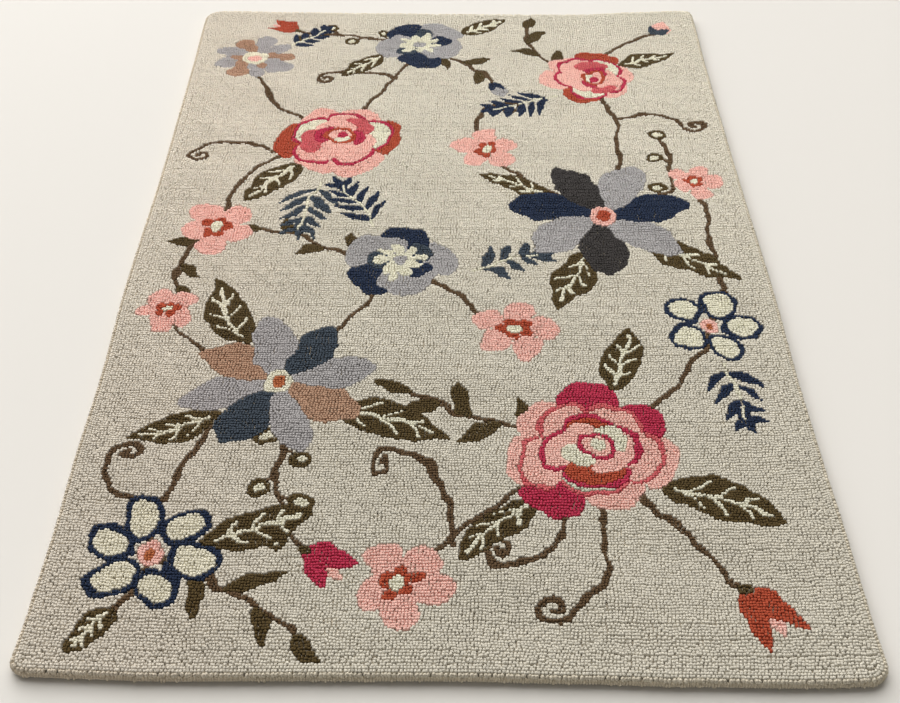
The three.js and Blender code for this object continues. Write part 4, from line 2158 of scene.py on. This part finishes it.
@dataclass(frozen=True)
class Studio:
    """The plain floor, the soft light and the camera.

    Attributes:
        focal_pixels: The lens, in pixels of the picture.
        picture_width: The picture's width in pixels.
        pitch: How far the camera looks down, in degrees.
        stand_back: How far the camera's foot stands from the rug's near end.
        eye_height: The camera's height above the pile.
        aside: How far the camera stands to the right of the rug's middle line.
        floor_shade: The floor's colour in display red, green and blue.
    """

    focal_pixels: float = 1210.0
    picture_width: float = 900.0
    pitch: float = 43.23
    stand_back: float = 0.798
    eye_height: float = 1.29017
    aside: float = 0.002
    floor_shade: tuple[float, float, float] = (0.882, 0.877, 0.866)

    SENSOR = 36.0
    RUG_LENGTH = 1.676
    PILE_TOP = 0.0165
    FLOOR_HALF = 14.0
    BROAD_ANGLE = 84.0
    BROAD_STRENGTH = 4.3
    BROAD_COLOUR = (1.0, 0.968, 0.922)
    BROAD_DISTANCE = 6.0
    BRIGHT_SIDE = (-0.198, 0.802, 0.563)
    KEY_PLACE = (-2.2, 4.2, 2.4)
    KEY_SIDE = 2.4
    KEY_POWER = 88.0
    KEY_COLOUR = (1.0, 0.985, 0.965)
    WALL_RISE = (0.08, 0.36)
    WALL_STRENGTH = (0.73, 0.18)
    WALL_COLOUR = (1.0, 0.950, 0.870, 1.0)

    def camera(self) -> None:
        """Adds the camera and makes it the scene's."""
        data = bpy.data.cameras.new("camera")
        data.sensor_width = self.SENSOR
        data.lens = self.focal_pixels / self.picture_width * self.SENSOR
        camera = linked(bpy.data.objects.new("camera", data))
        near_end = -self.RUG_LENGTH / 2
        camera.location = (
            self.aside, near_end - self.stand_back, self.eye_height + self.PILE_TOP,
        )
        camera.rotation_euler = (math.radians(90.0 - self.pitch), 0.0, 0.0)
        bpy.context.scene.camera = camera

    def floor(self) -> None:
        """Adds the plain pale floor."""
        data = bpy.data.meshes.new("floor")
        half = self.FLOOR_HALF
        data.from_pydata(
            [(-half, -half, 0.0), (half, -half, 0.0), (half, half, 0.0), (-half, half, 0.0)],
            [],
            [(0, 1, 2, 3)],
        )
        material, _, shader = bare_material("pale_floor", Roughness=0.9, Specular_IOR_Level=0.1)
        shader.inputs["Base Color"].default_value = linear_rgba(self.floor_shade)
        data.materials.append(material)
        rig.stage(linked(bpy.data.objects.new("floor", data)))

    def surroundings(self) -> None:
        """Sets a room that is dim above and has a pale wall all round it."""
        world = bpy.data.worlds.new("studio")
        world.use_nodes = True
        sheet = NodeSheet(world.node_tree)
        background = world.node_tree.nodes["Background"]
        direction = sheet.node("ShaderNodeTexCoord").outputs["Generated"]
        rise = sheet.node("ShaderNodeSeparateXYZ", Vector=direction).outputs["Z"]
        height = sheet.mapped(rise, self.WALL_RISE, (0.0, 1.0), "SMOOTHSTEP")
        strength = sheet.mapped(height, (0.0, 1.0), self.WALL_STRENGTH)
        world.node_tree.links.new(strength, background.inputs["Strength"])
        background.inputs["Color"].default_value = self.WALL_COLOUR
        bpy.context.scene.world = world

    def broad_light(self) -> None:
        """Adds the broad soft light from behind the rug."""
        data = bpy.data.lights.new("broad_light", "SUN")
        data.angle = math.radians(self.BROAD_ANGLE)
        data.energy = self.BROAD_STRENGTH
        data.color = self.BROAD_COLOUR
        lamp = linked(bpy.data.objects.new("broad_light", data))
        lamp.location = Vector(self.BRIGHT_SIDE) * self.BROAD_DISTANCE
        lamp.rotation_euler = Vector(self.BRIGHT_SIDE).to_track_quat("Z", "Y").to_euler()

    def key_light(self) -> None:
        """Adds the smaller light behind the rug's far left corner, aimed at its middle."""
        data = bpy.data.lights.new("key", "AREA")
        data.shape = "SQUARE"
        data.size = self.KEY_SIDE
        data.energy = self.KEY_POWER
        data.color = self.KEY_COLOUR
        lamp = linked(bpy.data.objects.new("key", data))
        lamp.location = self.KEY_PLACE
        lamp.rotation_euler = (-Vector(self.KEY_PLACE)).to_track_quat("-Z", "Y").to_euler()

    def build(self) -> None:
        """Sets up the whole studio."""
        self.camera()
        self.floor()
        self.surroundings()
        self.broad_light()
        self.key_light()
        bpy.context.scene.view_settings.view_transform = "Standard"


@dataclass
class TuftedRug:
    """The whole rug: its cloth ground, its pile and its rim.

    Attributes:
        form: The rug's true shape.
        cut: The cloth's size before its edge was rolled over, across and along.
    """

    form: RugForm
    cut: tuple[float, float] = (1.067, 1.676)

    SEED = 41

    def build(self) -> None:
        """Builds, dresses and declares every piece."""
        fibre = fibre_group()
        weave = weave_group()
        ground = ClothGround(self.form).build(
            RootsFinish().material(fibre), CottonFinish().material(weave),
        )
        chance = np.random.default_rng(self.SEED)
        tufter = Tufter(tufting_tree(), WoolFinish().material(fibre))
        pile = Pile(self.form, chance).build(tufter, DyeLotAndPaintedSheen(chance), pattern())
        for piece in [ground, *pile]:
            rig.ride(piece, "root")
            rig.replaces(piece, "rug")
            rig.slot(piece, "pile")
            LOG.info("%s: %d faces", piece.name, len(piece.data.polygons))
        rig.sheet(ground, flat=self.cut, held="laid", with_pieces=pile)


def write_sizes() -> None:
    """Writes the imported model's box and the dressed model's box as plain lists."""
    boxes = {"cad": cad_bounds, "visual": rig.bounds()}
    plain = {name: [[float(value) for value in corner] for corner in box]
             for name, box in boxes.items()}
    with open(SIZE_FILE, "w", encoding="utf-8") as out:
        json.dump(plain, out)


def main() -> None:
    """Builds the rug and the studio around it."""
    logging.basicConfig(level=logging.INFO, format="%(name)s %(message)s")
    Studio().build()
    LOG.info("studio: camera, floor and lights")
    TuftedRug(RugForm.from_node(frame["nodes"]["rug"])).build()
    write_sizes()


if __name__ == "__main__":
    main()
